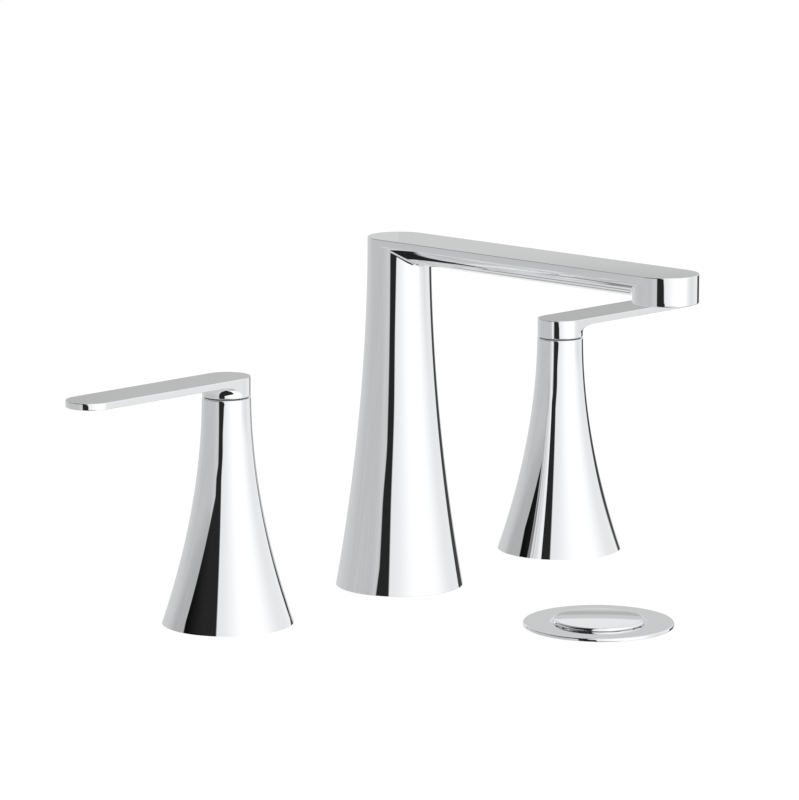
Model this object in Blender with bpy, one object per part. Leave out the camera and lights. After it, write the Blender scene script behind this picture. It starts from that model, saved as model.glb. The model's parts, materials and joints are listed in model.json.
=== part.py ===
"""Widespread bathroom faucet: a spout, two lever handles on flared bells, and a click-to-close drain.

The deck's top face is z = 0 and the spout's axis is the origin. The user stands at -Y, so the arm points
along -Y and the handles stand at -X and +X. Sizes are in metres, written as millimetres times MM.
"""

import math

import bmesh
import bpy
from mathutils import Vector

MM = 0.001

# Fits and cuts
FIT_GAP = 0.3 * MM
OVERRUN = 1.0 * MM
DECK_THICKNESS = 25.0 * MM

# Facets round a circle: shells, nuts and rings, stems
SHELL_STEPS = 36
RING_STEPS = 20
STEM_STEPS = 12
NUT_STEPS = 24
O_RING_SIDES = 8

# Where the four stations stand
HANDLE_CENTRES = 203.2 * MM
DRAIN_OFFSET = 113.6 * MM

# Retaining rings and gaskets inside each base
RETAINER_RADIUS = 21.0 * MM
RETAINER_HEIGHT = 6.5 * MM
GASKET_THICKNESS = 1.7 * MM
RIM_HEIGHT = 9.0 * MM
CHROME_WALL = 2.0 * MM

# Bell of a handle
BELL_HEIGHT = 94.0 * MM
BELL_BASE_RADIUS = 27.2 * MM
BELL_NECK_RADIUS = 10.15 * MM
BELL_FLARE_POWER = 1.88
BELL_RINGS = 7
BELL_CAVITY_RINGS = 3
BELL_CROWN = 14.0 * MM

# Lever
HUB_GAP = 0.7 * MM
HUB_RADIUS = 10.0 * MM
HUB_DEPTH = 8.0 * MM
LEVER_THICKNESS = 2.8 * MM
LEVER_REACH = 74.7 * MM
LEVER_FILLET = 3.8 * MM
FILLET_STEPS = 3
LEVER_TIP_STEPS = 12
STEM_ENGAGEMENT = 4.8 * MM

# Glide ring and bush in the bell's neck
GLIDE_RADIUS = 9.0 * MM
GLIDE_DEPTH = 1.8 * MM
BUSH_RADIUS = 7.6 * MM
BUSH_LENGTH = 9.5 * MM

# Set screws
SCREW_RADIUS = 1.5 * MM
SCREW_HEX_RADIUS = 0.8 * MM
SCREW_HEX_DEPTH = 1.6 * MM
SCREW_RECESS = 0.8 * MM
SCREW_POCKET_DEPTH = 1.0 * MM
LEVER_SCREW_HEIGHT = 2.6 * MM
SPOUT_SCREW_HEIGHT = 5.2 * MM
SPOUT_REAR = (-1, 0, 0)

# Cartridge
STEM_RADIUS = 4.0 * MM
COUPLING_RADIUS = 6.5 * MM
COUPLING_LENGTH = 16.0 * MM
COUPLING_ENGAGEMENT = 11.0 * MM
DISC_RADIUS = 7.9 * MM
DISC_THICKNESS = 3.0 * MM
DISC_PORT_RADIUS = 2.0 * MM
DISC_PORT_OFFSET = 4.2 * MM
DRIVER_WIDTH = 6.0 * MM
DRIVER_THICKNESS = 3.0 * MM
SEAL_THICKNESS = 2.2 * MM
SEAL_BORE_RADIUS = 5.0 * MM
HOUSING_WALL = 1.4 * MM
BONNET_FLATS = 21.0 * MM
BONNET_HEIGHT = 8.0 * MM

# Valve body
SHANK_RADIUS = 14.5 * MM
SHANK_LENGTH = 54.0 * MM
VALVE_TOP = 20.0 * MM
CHAMBER_DEPTH = 28.3 * MM
GROOVE_DEPTH = 2.3 * MM
GROOVE_HEIGHT = 5.0 * MM
INLET_RADIUS = 10.4 * MM
INLET_LENGTH = 18.0 * MM
INLET_BORE_RADIUS = 6.0 * MM
OUTLET_RADIUS = 7.0 * MM
OUTLET_BORE_RADIUS = 4.0 * MM
OUTLET_REACH = 32.0 * MM
OUTLET_DROP = 46.0 * MM
CHANNEL_RADIUS = 1.6 * MM
CHANNEL_OFFSET = 11.9 * MM

# Washers and nuts under the deck
WASHER_RADIUS = 22.0 * MM
WASHER_THICKNESS = 2.5 * MM
NUT_FLATS = 36.0 * MM
NUT_HEIGHT = 9.0 * MM

# Spout
SPOUT_HEIGHT = 149.6 * MM
SPOUT_BASE_RADIUS = 27.2 * MM
SPOUT_NECK_RADIUS = 13.5 * MM
SPOUT_FLARE_POWER = 1.94
SPOUT_RINGS = 8
SPOUT_CAVITY_RINGS = 4
SPOUT_REACH = 148.0 * MM
ARM_SIDE = 2.8 * MM
ARM_BELLY = 8.1 * MM
ARM_FILLET_REACH = 1.5 * MM
ARM_FILLET_DEPTH = 1.2 * MM
ARM_TIP_STEPS = 16
ARM_SIDE_POINTS = 5
ARM_UNDER_POINTS = 3
TIP_DEPTH = 11.8 * MM

# Waterway inside the spout
SPOUT_CROWN = 29.6 * MM
TUBE_RADIUS = 6.0 * MM
TUBE_BORE_RADIUS = 4.0 * MM
TUBE_TOP_SOCKET = 14.0 * MM
CHANNEL_WIDTH = 12.0 * MM
CHANNEL_HEIGHT = 3.2 * MM
CHANNEL_COVER = 2.6 * MM
O_RING_THICKNESS = 2.4 * MM
O_RING_WALL = 1.4 * MM
O_RING_INSET = 6.0 * MM

# Spout shank and inlet tee
SPOUT_SHANK_RADIUS = 12.5 * MM
SPOUT_SHANK_LENGTH = 62.0 * MM
SPOUT_SHANK_BORE_RADIUS = 4.5 * MM
COLLAR_RADIUS = 16.0 * MM
COLLAR_HEIGHT = 3.2 * MM
SOCKET_RADIUS = 9.3 * MM
SOCKET_HEIGHT = 17.5 * MM
TEE_RADIUS = 15.5 * MM
TEE_SOCKET_DEPTH = 10.0 * MM
TEE_BODY_RADIUS = 11.0 * MM
TEE_BODY_LENGTH = 18.0 * MM
TEE_ARM_RADIUS = 6.5 * MM
TEE_ARM_BORE_RADIUS = 3.8 * MM
TEE_ARM_REACH = 30.0 * MM

# Aerator
AERATOR_RADIUS = 9.0 * MM
AERATOR_WALL = 1.4 * MM
AERATOR_HEIGHT = 5.1 * MM
AERATOR_INSET = 0.4 * MM
AERATOR_HOLES = 6
AERATOR_HOLE_RADIUS = 1.1 * MM
AERATOR_HOLE_PITCH = 4.2 * MM
AERATOR_WASHER_THICKNESS = 0.9 * MM
AERATOR_WASHER_BORE_RADIUS = 5.5 * MM

# Drain flange and cap
FLANGE_RADIUS = 31.1 * MM
FLANGE_EDGE = 1.4 * MM
FLANGE_EDGE_ROUND = 0.4 * MM
FLANGE_DISH = 0.9 * MM
SEAT_RELIEF = 0.15 * MM
SEAT_RELIEF_WIDTH = 3.0 * MM
THROAT_RADIUS = 15.5 * MM
SPIGOT_WALL = 1.7 * MM
SPIGOT_LENGTH = 22.0 * MM
CAP_RADIUS = 19.0 * MM
CAP_TOP = 3.4 * MM
CAP_UNDERSIDE = 1.3 * MM
CAP_SHOULDER = 1.2 * MM
CAP_CROWN = 0.5 * MM
PLUG_DEPTH = 4.5 * MM
CAP_SEAL_THICKNESS = 1.8 * MM
CAP_SEAL_WALL = 2.0 * MM
CAP_SEAL_DROP = 1.0 * MM
CAP_STEM_RADIUS = 3.0 * MM
CAP_STEM_LENGTH = 45.0 * MM
CAP_STEM_ENGAGEMENT = 4.0 * MM
CAP_TRAVEL = 8.0 * MM

# Click mechanism
CLICK_RADIUS = 7.2 * MM
CLICK_WALL = 1.3 * MM
CLICK_BOTTOM = 50.0 * MM
CLICK_FLOOR = 2.0 * MM
CLICK_FLANGE_RADIUS = 9.5 * MM
CLICK_FLANGE_HEIGHT = 2.0 * MM
LATCH_DEPTH = 1.5 * MM
LATCH_HEAD = 1.5 * MM
COLLAR_STOP_RADIUS = 5.4 * MM
COLLAR_STOP_HEIGHT = 2.0 * MM
STOP_CLEARANCE = 0.8 * MM
SPRING_WIRE_RADIUS = 0.7 * MM
SPRING_LENGTH = 15.4 * MM
SPRING_TURNS = 6
SPRING_TURN_POINTS = 8

# Drain body and what clamps it
DRAIN_BODY_RADIUS = 20.3 * MM
DRAIN_BODY_TOP = 2.0 * MM
DRAIN_BODY_LENGTH = 74.0 * MM
DRAIN_BORE_RADIUS = 15.5 * MM
CROSSBAR_WIDTH = 5.0 * MM
CROSSBAR_HEIGHT = 5.0 * MM
CROSSBAR_BOSS_WALL = 3.0 * MM
SINK_WASHER_RADIUS = 31.0 * MM
SINK_WASHER_HEIGHT = 6.0 * MM
SINK_WASHER_TAPER = 4.0 * MM
FRICTION_WASHER_RADIUS = 28.0 * MM
FRICTION_WASHER_THICKNESS = 1.2 * MM
DRAIN_NUT_FLATS = 54.0 * MM
DRAIN_NUT_HEIGHT = 9.0 * MM
TAILPIECE_RADIUS = 15.9 * MM
TAILPIECE_WALL = 1.2 * MM
TAILPIECE_LENGTH = 122.0 * MM
TAILPIECE_ENGAGEMENT = 14.0 * MM
TAILPIECE_SEAL_THICKNESS = 2.0 * MM
TAILPIECE_SEAL_WALL = 1.8 * MM

# Finishes: colour, metallic, roughness
FINISHES = {
    "chrome": ((0.86, 0.87, 0.88), 1.0, 0.04),
    "brass": ((0.72, 0.55, 0.27), 1.0, 0.30),
    "steel": ((0.60, 0.60, 0.61), 1.0, 0.28),
    "rubber": ((0.02, 0.02, 0.02), 0.0, 0.75),
    "plastic": ((0.12, 0.12, 0.13), 0.0, 0.45),
    "ceramic": ((0.85, 0.84, 0.80), 0.0, 0.20),
}

# Heights that several pieces share
RETAINER_BOTTOM = GASKET_THICKNESS + FIT_GAP
RETAINER_TOP = RETAINER_BOTTOM + RETAINER_HEIGHT
BELL_CAVITY_HEIGHT = BELL_HEIGHT - BELL_CROWN
HUB_BOTTOM = BELL_HEIGHT + HUB_GAP
LEVER_TOP = HUB_BOTTOM + HUB_DEPTH
HUB_BORE_TOP = HUB_BOTTOM + STEM_ENGAGEMENT
CHAMBER_RADIUS = DISC_RADIUS + HOUSING_WALL + 2 * FIT_GAP
CHAMBER_FLOOR = VALVE_TOP - CHAMBER_DEPTH
SEAL_TOP = CHAMBER_FLOOR + FIT_GAP + SEAL_THICKNESS
HOUSING_BOTTOM = SEAL_TOP + FIT_GAP
FIXED_DISC_TOP = HOUSING_BOTTOM + DISC_THICKNESS
MOVING_DISC_TOP = FIXED_DISC_TOP + FIT_GAP + DISC_THICKNESS
DRIVER_BOTTOM = MOVING_DISC_TOP + FIT_GAP
DRIVER_TOP = DRIVER_BOTTOM + DRIVER_THICKNESS
BONNET_TOP = VALVE_TOP + FIT_GAP + BONNET_HEIGHT
COUPLING_BOTTOM = BONNET_TOP + FIT_GAP
STEM_TOP = COUPLING_BOTTOM + COUPLING_ENGAGEMENT
WASHER_BOTTOM = -DECK_THICKNESS - WASHER_THICKNESS
SPOUT_CAVITY_HEIGHT = SPOUT_HEIGHT - SPOUT_CROWN
TUBE_TOP = SPOUT_CAVITY_HEIGHT + TUBE_TOP_SOCKET
COLLAR_BOTTOM = RETAINER_TOP + FIT_GAP
SOCKET_FLOOR = COLLAR_BOTTOM + COLLAR_HEIGHT
SOCKET_TOP = SOCKET_FLOOR + SOCKET_HEIGHT
TIP_BOTTOM = SPOUT_HEIGHT - TIP_DEPTH
CHANNEL_BOTTOM = SPOUT_HEIGHT - CHANNEL_COVER - CHANNEL_HEIGHT
AERATOR_BOTTOM = TIP_BOTTOM + AERATOR_INSET
AERATOR_WASHER_BOTTOM = AERATOR_BOTTOM + AERATOR_HEIGHT + FIT_GAP
AERATOR_BORE_TOP = AERATOR_WASHER_BOTTOM + AERATOR_WASHER_THICKNESS + FIT_GAP
CAP_STEM_TOP = CAP_STEM_ENGAGEMENT - PLUG_DEPTH - FIT_GAP
SPRING_BOTTOM = CLICK_FLOOR - CLICK_BOTTOM + FIT_GAP
COLLAR_STOP_BOTTOM = SPRING_BOTTOM + SPRING_LENGTH + FIT_GAP
LATCH_BOTTOM = COLLAR_STOP_BOTTOM + COLLAR_STOP_HEIGHT + CAP_TRAVEL + STOP_CLEARANCE
CLICK_TOP = LATCH_BOTTOM + LATCH_DEPTH - FIT_GAP
CLICK_FLANGE_BOTTOM = COLLAR_STOP_BOTTOM - CLICK_FLANGE_HEIGHT
TAILPIECE_SHOULDER = TAILPIECE_ENGAGEMENT - DRAIN_BODY_LENGTH


def material(finish):
    """The finish's material, made the first time it is asked for."""
    found = bpy.data.materials.get(finish)
    if found:
        return found
    colour, metallic, roughness = FINISHES[finish]
    made = bpy.data.materials.new(finish)
    made.use_nodes = True
    shader = made.node_tree.nodes["Principled BSDF"]
    shader.inputs["Base Color"].default_value = (*colour, 1)
    shader.inputs["Metallic"].default_value = metallic
    shader.inputs["Roughness"].default_value = roughness
    return made


def station(name, x, y, heading):
    """An empty on a vertical axis of the set, its local +X turned the way its lever or arm points."""
    empty = bpy.data.objects.new(name, None)
    empty.location = (x, y, 0)
    empty.rotation_euler = (0, 0, heading)
    bpy.context.collection.objects.link(empty)
    return empty


def finished(name, bm, parent, finish):
    """Turns the bmesh into a named object on its station, closed, facing out and smooth where it is round."""
    bmesh.ops.remove_doubles(bm, verts=bm.verts, dist=0.001 * MM)
    bmesh.ops.recalc_face_normals(bm, faces=bm.faces)
    mesh = bpy.data.meshes.new(name)
    bm.to_mesh(mesh)
    bm.free()
    mesh.shade_smooth()
    mesh.set_sharp_from_angle(angle=math.radians(30))
    made = bpy.data.objects.new(name, mesh)
    made.parent = parent
    bpy.context.collection.objects.link(made)
    if finish:
        mesh.materials.append(material(finish))
    else:
        made.hide_render = True
        made.display_type = "WIRE"
    return made


def turned(name, profile, parent, finish, steps=RING_STEPS):
    """Spins a closed outline of (radius, height) points about the station's axis."""
    bm = bmesh.new()
    points = [bm.verts.new((radius, 0, height)) for radius, height in profile]
    ends = zip(points, points[1:] + points[:1])
    edges = [bm.edges.new(pair) for pair in ends if pair[0].co.x or pair[1].co.x]
    bmesh.ops.spin(
        bm, geom=points + edges, axis=(0, 0, 1), cent=(0, 0, 0), steps=steps, angle=math.tau, use_merge=True
    )
    return finished(name, bm, parent, finish)


def ring(name, inner, outer, bottom, top, parent, finish, steps=RING_STEPS):
    profile = [(inner, bottom), (outer, bottom), (outer, top), (inner, top)]
    return turned(name, profile, parent, finish, steps)


def rod(name, radius, bottom, top, parent, finish, steps=STEM_STEPS):
    profile = [(0, bottom), (radius, bottom), (radius, top), (0, top)]
    return turned(name, profile, parent, finish, steps)


def o_ring(name, inner, outer, bottom, parent, steps=STEM_STEPS):
    """A rubber ring with an oval section."""
    half_wall = (outer - inner) / 2
    half_height = O_RING_THICKNESS / 2
    corners = [math.tau * corner / O_RING_SIDES for corner in range(O_RING_SIDES)]
    profile = [
        (inner + half_wall + half_wall * math.cos(a), bottom + half_height + half_height * math.sin(a))
        for a in corners
    ]
    return turned(name, profile, parent, "rubber", steps)


def sheaf(name, outline, section, parent, finish):
    """A solid given by its vertical cuts through its axis.

    section(x, y) is the cut below one point of the outline, as (radius, height) points, as many for each.
    A cut that starts on the axis ends there too, and any other cut is a closed loop, which leaves a bore.
    """
    bm = bmesh.new()
    columns = []
    for x, y in outline:
        reach = math.hypot(x, y)
        columns.append([bm.verts.new((x / reach * r, y / reach * r, z)) for r, z in section(x, y)])
    for left, right in zip(columns, columns[1:] + columns[:1]):
        if left[0].co.xy.length:
            left = left + left[:1]
            right = right + right[:1]
        for k in range(len(left) - 1):
            bm.faces.new((left[k], right[k], right[k + 1], left[k + 1]))
    return finished(name, bm, parent, finish)


def hex_nut(name, bore, flats, bottom, top, parent, finish):
    """A hexagonal nut with a plain bore."""
    corners = [math.tau * k / NUT_STEPS for k in range(NUT_STEPS)]
    sixth = math.tau / 6
    outline = []
    for angle in corners:
        reach = flats / 2 / math.cos(angle % sixth - sixth / 2)
        outline.append((reach * math.cos(angle), reach * math.sin(angle)))

    def section(x, y):
        reach = math.hypot(x, y)
        return [(bore, bottom), (reach, bottom), (reach, top), (bore, top)]

    return sheaf(name, outline, section, parent, finish)


def lying(name, radius, start, end, height, parent, towards=(1, 0, 0), finish=None, steps=STEM_STEPS):
    """A level rod at a height, from start to end, measured from the axis in the direction towards."""
    made = rod(name, radius, start, end, parent, finish, steps)
    made.location = (0, 0, height)
    made.rotation_euler = Vector(towards).to_track_quat("Z", "Y").to_euler()
    return made


def box(name, low, high, parent):
    """A box cutter."""
    bm = bmesh.new()
    bmesh.ops.create_cube(bm, size=1)
    low, high = Vector(low), Vector(high)
    bmesh.ops.scale(bm, vec=high - low, verts=bm.verts)
    bmesh.ops.translate(bm, vec=(low + high) / 2, verts=bm.verts)
    return finished(name, bm, parent, None)


def combine(target, other, operation):
    boolean = target.modifiers.new(f"{operation.lower()} {other.name}", "BOOLEAN")
    boolean.operation = operation
    boolean.object = other


def cut(target, *cutters):
    for cutter in cutters:
        combine(target, cutter, "DIFFERENCE")


def join(target, *others):
    for other in others:
        combine(target, other, "UNION")


def flare(base, neck, height, power, z):
    """Radius at height z of a body that is upright at its top and spreads towards its foot."""
    return neck + (base - neck) * max(1 - z / height, 0) ** power


def stadium(reach, radius, back_steps, side_points, tip_steps):
    """A bar with round ends: round the axis at the back, along one side, round the tip, and back."""
    quarter = math.pi / 2
    back = [quarter + math.pi * k / back_steps for k in range(back_steps + 1)]
    tip = [-quarter + math.pi * k / tip_steps for k in range(tip_steps + 1)]
    # The side points crowd towards the hub, where the fillet under the bar needs them. One more stands just
    # short of the tip, where a block can start.
    sides = [reach * (k / (side_points + 1)) ** 2 for k in range(1, side_points + 1)]
    sides.append(reach - 2 * FIT_GAP)
    return (
        [(radius * math.cos(a), radius * math.sin(a)) for a in back]
        + [(x, -radius) for x in sides]
        + [(reach + radius * math.cos(a), radius * math.sin(a)) for a in tip]
        + [(x, radius) for x in reversed(sides)]
    )


def set_screw(name, depth, head, height, towards, parent):
    """A level grub screw with a hexagon socket, from depth to head, measured from the axis."""
    screw = lying(name, SCREW_RADIUS, depth, head, height, parent, towards, "steel")
    deep = head - SCREW_HEX_DEPTH
    end = head + OVERRUN
    cut(screw, lying(f"cut_{name}_hex", SCREW_HEX_RADIUS, deep, end, height, parent, towards, steps=6))


def screw_hole(name, start, end, height, towards, parent):
    return lying(f"cut_{name}_hole", SCREW_RADIUS + FIT_GAP, start, end, height, parent, towards)


def under_deck(side, shank, parent):
    """The rubber washer and the nut that pull a shank down on the deck."""
    bore = shank + FIT_GAP
    ring(f"{side}_deck_washer", bore, WASHER_RADIUS, WASHER_BOTTOM, -DECK_THICKNESS, parent, "rubber")
    top = WASHER_BOTTOM - FIT_GAP
    hex_nut(f"{side}_mounting_nut", bore, NUT_FLATS, top - NUT_HEIGHT, top, parent, "brass")


def base_retainer(name, side, shank, parent):
    """The gasket on the deck and the brass ring on it that holds a base."""
    bore = shank + FIT_GAP
    ring(f"{side}_base_gasket", bore, RETAINER_RADIUS, 0, GASKET_THICKNESS, parent, "rubber")
    return ring(name, bore, RETAINER_RADIUS, RETAINER_BOTTOM, RETAINER_TOP, parent, "brass")


def bell(side, parent):
    """The flared chrome shell: a straight land on the retaining ring, a thin wall, and a bored neck."""

    def outer(z):
        return flare(BELL_BASE_RADIUS, BELL_NECK_RADIUS, BELL_HEIGHT, BELL_FLARE_POWER, z)

    heights = [BELL_HEIGHT * k / BELL_RINGS for k in range(BELL_RINGS + 1)]
    outside = [(outer(z), z) for z in heights]
    recess = BELL_HEIGHT - GLIDE_DEPTH
    neck = [
        (GLIDE_RADIUS + FIT_GAP, BELL_HEIGHT),
        (GLIDE_RADIUS + FIT_GAP, recess),
        (BUSH_RADIUS + FIT_GAP, recess),
        (BUSH_RADIUS + FIT_GAP, BELL_CAVITY_HEIGHT),
    ]
    rise = (BELL_CAVITY_HEIGHT - RIM_HEIGHT) / BELL_CAVITY_RINGS
    inside = [RIM_HEIGHT + rise * k for k in range(BELL_CAVITY_RINGS + 1)]
    land = RETAINER_RADIUS + FIT_GAP
    cavity = [(min(outer(z) - CHROME_WALL, land), z) for z in reversed(inside)]
    cavity += [(land, RIM_HEIGHT), (land, 0)]
    turned(f"{side}_bell", outside + neck + cavity, parent, "chrome", SHELL_STEPS)


def lever(side, rear, parent):
    """A flat bar with round ends on a short round hub, with a concave fillet where the hub meets the bar."""
    underside = LEVER_TOP - LEVER_THICKNESS
    bore = STEM_RADIUS + FIT_GAP

    def section(x, y):
        reach = math.hypot(x, y)
        cut_points = [
            (0, HUB_BORE_TOP),
            (bore, HUB_BORE_TOP),
            (bore, HUB_BOTTOM),
            (HUB_RADIUS, HUB_BOTTOM),
        ]
        for k in range(FILLET_STEPS + 1):
            spread = 1 - math.cos(math.pi / 2 * k / FILLET_STEPS)
            spread = max(0, min(spread, (reach - HUB_RADIUS) / LEVER_FILLET))
            drop = LEVER_FILLET * (1 - math.sqrt(1 - (1 - spread) ** 2))
            cut_points.append((HUB_RADIUS + LEVER_FILLET * spread, underside - drop))
        lowest = cut_points[-1][1]
        return cut_points + [(reach, lowest), (reach, LEVER_TOP), (0, LEVER_TOP)]

    outline = stadium(LEVER_REACH, HUB_RADIUS, LEVER_TIP_STEPS, ARM_SIDE_POINTS, LEVER_TIP_STEPS)
    made = sheaf(f"{side}_lever", outline, section, parent, "chrome")
    height = HUB_BOTTOM + LEVER_SCREW_HEIGHT
    towards = (0, rear, 0)
    cut(made, screw_hole(f"{side}_lever", bore - OVERRUN, HUB_RADIUS + OVERRUN, height, towards, parent))
    set_screw(f"{side}_lever_set_screw", bore, HUB_RADIUS - SCREW_RECESS, height, towards, parent)


def neck_pieces(side, parent):
    """The glide ring that shows as the dark joint line, the bush under it, and the stem extension."""
    bore = STEM_RADIUS + FIT_GAP
    recess = BELL_HEIGHT - GLIDE_DEPTH
    ring(f"{side}_glide_ring", bore, GLIDE_RADIUS, recess + FIT_GAP, HUB_BOTTOM - FIT_GAP, parent, "plastic")
    ring(f"{side}_neck_bush", bore, BUSH_RADIUS, recess - BUSH_LENGTH, recess, parent, "plastic", STEM_STEPS)
    foot = COUPLING_BOTTOM
    seat = STEM_TOP + FIT_GAP
    shoulder = foot + COUPLING_LENGTH
    profile = [
        (bore, foot),
        (COUPLING_RADIUS, foot),
        (COUPLING_RADIUS, shoulder),
        (STEM_RADIUS, shoulder),
        (STEM_RADIUS, HUB_BORE_TOP - FIT_GAP),
        (0, HUB_BORE_TOP - FIT_GAP),
        (0, seat),
        (bore, seat),
    ]
    turned(f"{side}_stem_extension", profile, parent, "brass", STEM_STEPS)


def cartridge(side, parent):
    """A quarter-turn ceramic cartridge: seal, fixed disc, moving disc, stem with driver bar, and housing."""
    seat = CHAMBER_FLOOR + FIT_GAP
    outer = DISC_RADIUS + FIT_GAP + HOUSING_WALL
    ring(f"{side}_disc_seal", SEAL_BORE_RADIUS, outer, seat, SEAL_TOP, parent, "rubber")
    discs = (("fixed_disc", HOUSING_BOTTOM), ("moving_disc", FIXED_DISC_TOP + FIT_GAP))
    for name, bottom in discs:
        top = bottom + DISC_THICKNESS
        disc = rod(f"{side}_{name}", DISC_RADIUS, bottom, top, parent, "ceramic", RING_STEPS)
        for way in (-1, 1):
            port = rod(
                f"cut_{side}_{name}_{way}",
                DISC_PORT_RADIUS,
                bottom - OVERRUN,
                top + OVERRUN,
                parent,
                None,
            )
            # The ports of the fixed disc stand across those of the moving one: closed at rest.
            offset = way * DISC_PORT_OFFSET
            port.location = (offset, 0, 0) if name == "fixed_disc" else (0, offset, 0)
            cut(disc, port)

    stem = rod(f"{side}_cartridge_stem", STEM_RADIUS, DRIVER_BOTTOM, STEM_TOP, parent, "brass")
    bar = rod(f"join_{side}_driver", DISC_RADIUS, DRIVER_BOTTOM, DRIVER_TOP, parent, None, RING_STEPS)
    half = DRIVER_WIDTH / 2
    for way in (-1, 1):
        far = way * (DISC_RADIUS + OVERRUN)
        low = (min(way * half, far), -DISC_RADIUS - OVERRUN, DRIVER_BOTTOM - OVERRUN)
        high = (max(way * half, far), DISC_RADIUS + OVERRUN, DRIVER_TOP + OVERRUN)
        cut(bar, box(f"cut_{side}_driver_{way}", low, high, parent))
    join(stem, bar)

    bonnet = VALVE_TOP + FIT_GAP
    inner = DISC_RADIUS + FIT_GAP
    bore = STEM_RADIUS + FIT_GAP
    ceiling = DRIVER_TOP + FIT_GAP
    profile = [
        (inner, HOUSING_BOTTOM),
        (outer, HOUSING_BOTTOM),
        (outer, bonnet + OVERRUN),
        (bore, bonnet + OVERRUN),
        (bore, ceiling),
        (inner, ceiling),
    ]
    housing = turned(f"{side}_cartridge_housing", profile, parent, "brass")
    head = hex_nut(f"join_{side}_bonnet", bore, BONNET_FLATS, bonnet, BONNET_TOP, parent, None)
    window = lying(
        f"cut_{side}_window",
        DRIVER_THICKNESS / 2,
        -outer - OVERRUN,
        outer + OVERRUN,
        (DRIVER_BOTTOM + DRIVER_TOP) / 2,
        parent,
    )
    join(housing, head)
    cut(housing, window)


def valve_body(side, parent):
    """A brass body through the deck: inlet below, cartridge chamber on top, side outlet towards the spout.

    Water rises through the middle, passes the discs into the groove round the chamber, and falls through a
    channel in the wall to the outlet.
    """
    groove_bottom = CHAMBER_FLOOR + CHAMBER_DEPTH / 3
    foot = -SHANK_LENGTH
    profile = [
        (INLET_BORE_RADIUS, foot - INLET_LENGTH),
        (INLET_RADIUS, foot - INLET_LENGTH),
        (INLET_RADIUS, foot),
        (SHANK_RADIUS, foot),
        (SHANK_RADIUS, VALVE_TOP),
        (CHAMBER_RADIUS, VALVE_TOP),
        (CHAMBER_RADIUS, groove_bottom + GROOVE_HEIGHT),
        (CHAMBER_RADIUS + GROOVE_DEPTH, groove_bottom + GROOVE_HEIGHT),
        (CHAMBER_RADIUS + GROOVE_DEPTH, groove_bottom),
        (CHAMBER_RADIUS, groove_bottom),
        (CHAMBER_RADIUS, CHAMBER_FLOOR),
        (INLET_BORE_RADIUS, CHAMBER_FLOOR),
    ]
    body = turned(f"{side}_valve_body", profile, parent, "brass")
    inside = (INLET_BORE_RADIUS + SHANK_RADIUS) / 2
    outlet = lying(f"join_{side}_outlet", OUTLET_RADIUS, -OUTLET_REACH, -inside, -OUTLET_DROP, parent)
    mouth = -OUTLET_REACH - OVERRUN
    way_out = lying(f"cut_{side}_outlet", OUTLET_BORE_RADIUS, mouth, -CHANNEL_OFFSET, -OUTLET_DROP, parent)
    channel = rod(
        f"cut_{side}_channel", CHANNEL_RADIUS, -OUTLET_DROP, groove_bottom + OVERRUN, parent, None
    )
    channel.location = (-CHANNEL_OFFSET, 0, 0)
    join(body, outlet)
    cut(body, way_out, channel)


def handle(side, x, heading, rear):
    axis = station(f"{side}_station", x, 0, heading)
    lever(side, rear, axis)
    neck_pieces(side, axis)
    bell(side, axis)
    cartridge(side, axis)
    valve_body(side, axis)
    base_retainer(f"{side}_retaining_ring", side, SHANK_RADIUS, axis)
    under_deck(side, SHANK_RADIUS, axis)


def arm_underside(y):
    """Height of the arm's belly at a distance y from its centre line."""
    across = min(abs(y) / SPOUT_NECK_RADIUS, 1)
    return SPOUT_HEIGHT - ARM_SIDE - ARM_BELLY * (1 - across**2)


def spout_section(x, y):
    """The cut through the spout below one point of its top outline: column, fillet, belly, tip block."""
    reach = math.hypot(x, y)
    slope = y / reach
    ahead = x > 0
    column_top = arm_underside(SPOUT_NECK_RADIUS * slope if ahead else SPOUT_NECK_RADIUS) - ARM_FILLET_DEPTH
    heights = [column_top * k / SPOUT_RINGS for k in range(SPOUT_RINGS + 1)]
    points = [(0, 0)]
    points += [
        (flare(SPOUT_BASE_RADIUS, SPOUT_NECK_RADIUS, SPOUT_HEIGHT, SPOUT_FLARE_POWER, z), z) for z in heights
    ]
    wall = points[-1][0]
    if not ahead:
        reach = wall
    for k in range(1, FILLET_STEPS + 1):
        spread = 1 - math.cos(math.pi / 2 * k / FILLET_STEPS)
        spread = max(0, min(spread, (reach - wall) / ARM_FILLET_REACH))
        radius = wall + ARM_FILLET_REACH * spread
        drop = ARM_FILLET_DEPTH * (1 - math.sqrt(1 - (1 - spread) ** 2))
        points.append((radius, arm_underside(radius * slope if ahead else SPOUT_NECK_RADIUS) - drop))
    block = reach
    in_tip = x > SPOUT_REACH - FIT_GAP
    if in_tip:
        along = SPOUT_REACH * x / reach
        aside = SPOUT_REACH * slope
        block = along - math.sqrt(max(SPOUT_NECK_RADIUS**2 - aside**2, 0))
        block = min(block, reach)
    start, lowest = points[-1]
    for k in range(1, ARM_UNDER_POINTS + 1):
        radius = start + (block - start) * k / ARM_UNDER_POINTS
        points.append((radius, arm_underside(radius * slope) if radius > start else lowest))
    bottom = TIP_BOTTOM if in_tip else points[-1][1]
    points += [(block, bottom), (reach, bottom)]
    edge = math.hypot(x, y)
    return points + [(edge, SPOUT_HEIGHT), (0, SPOUT_HEIGHT)]


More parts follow.
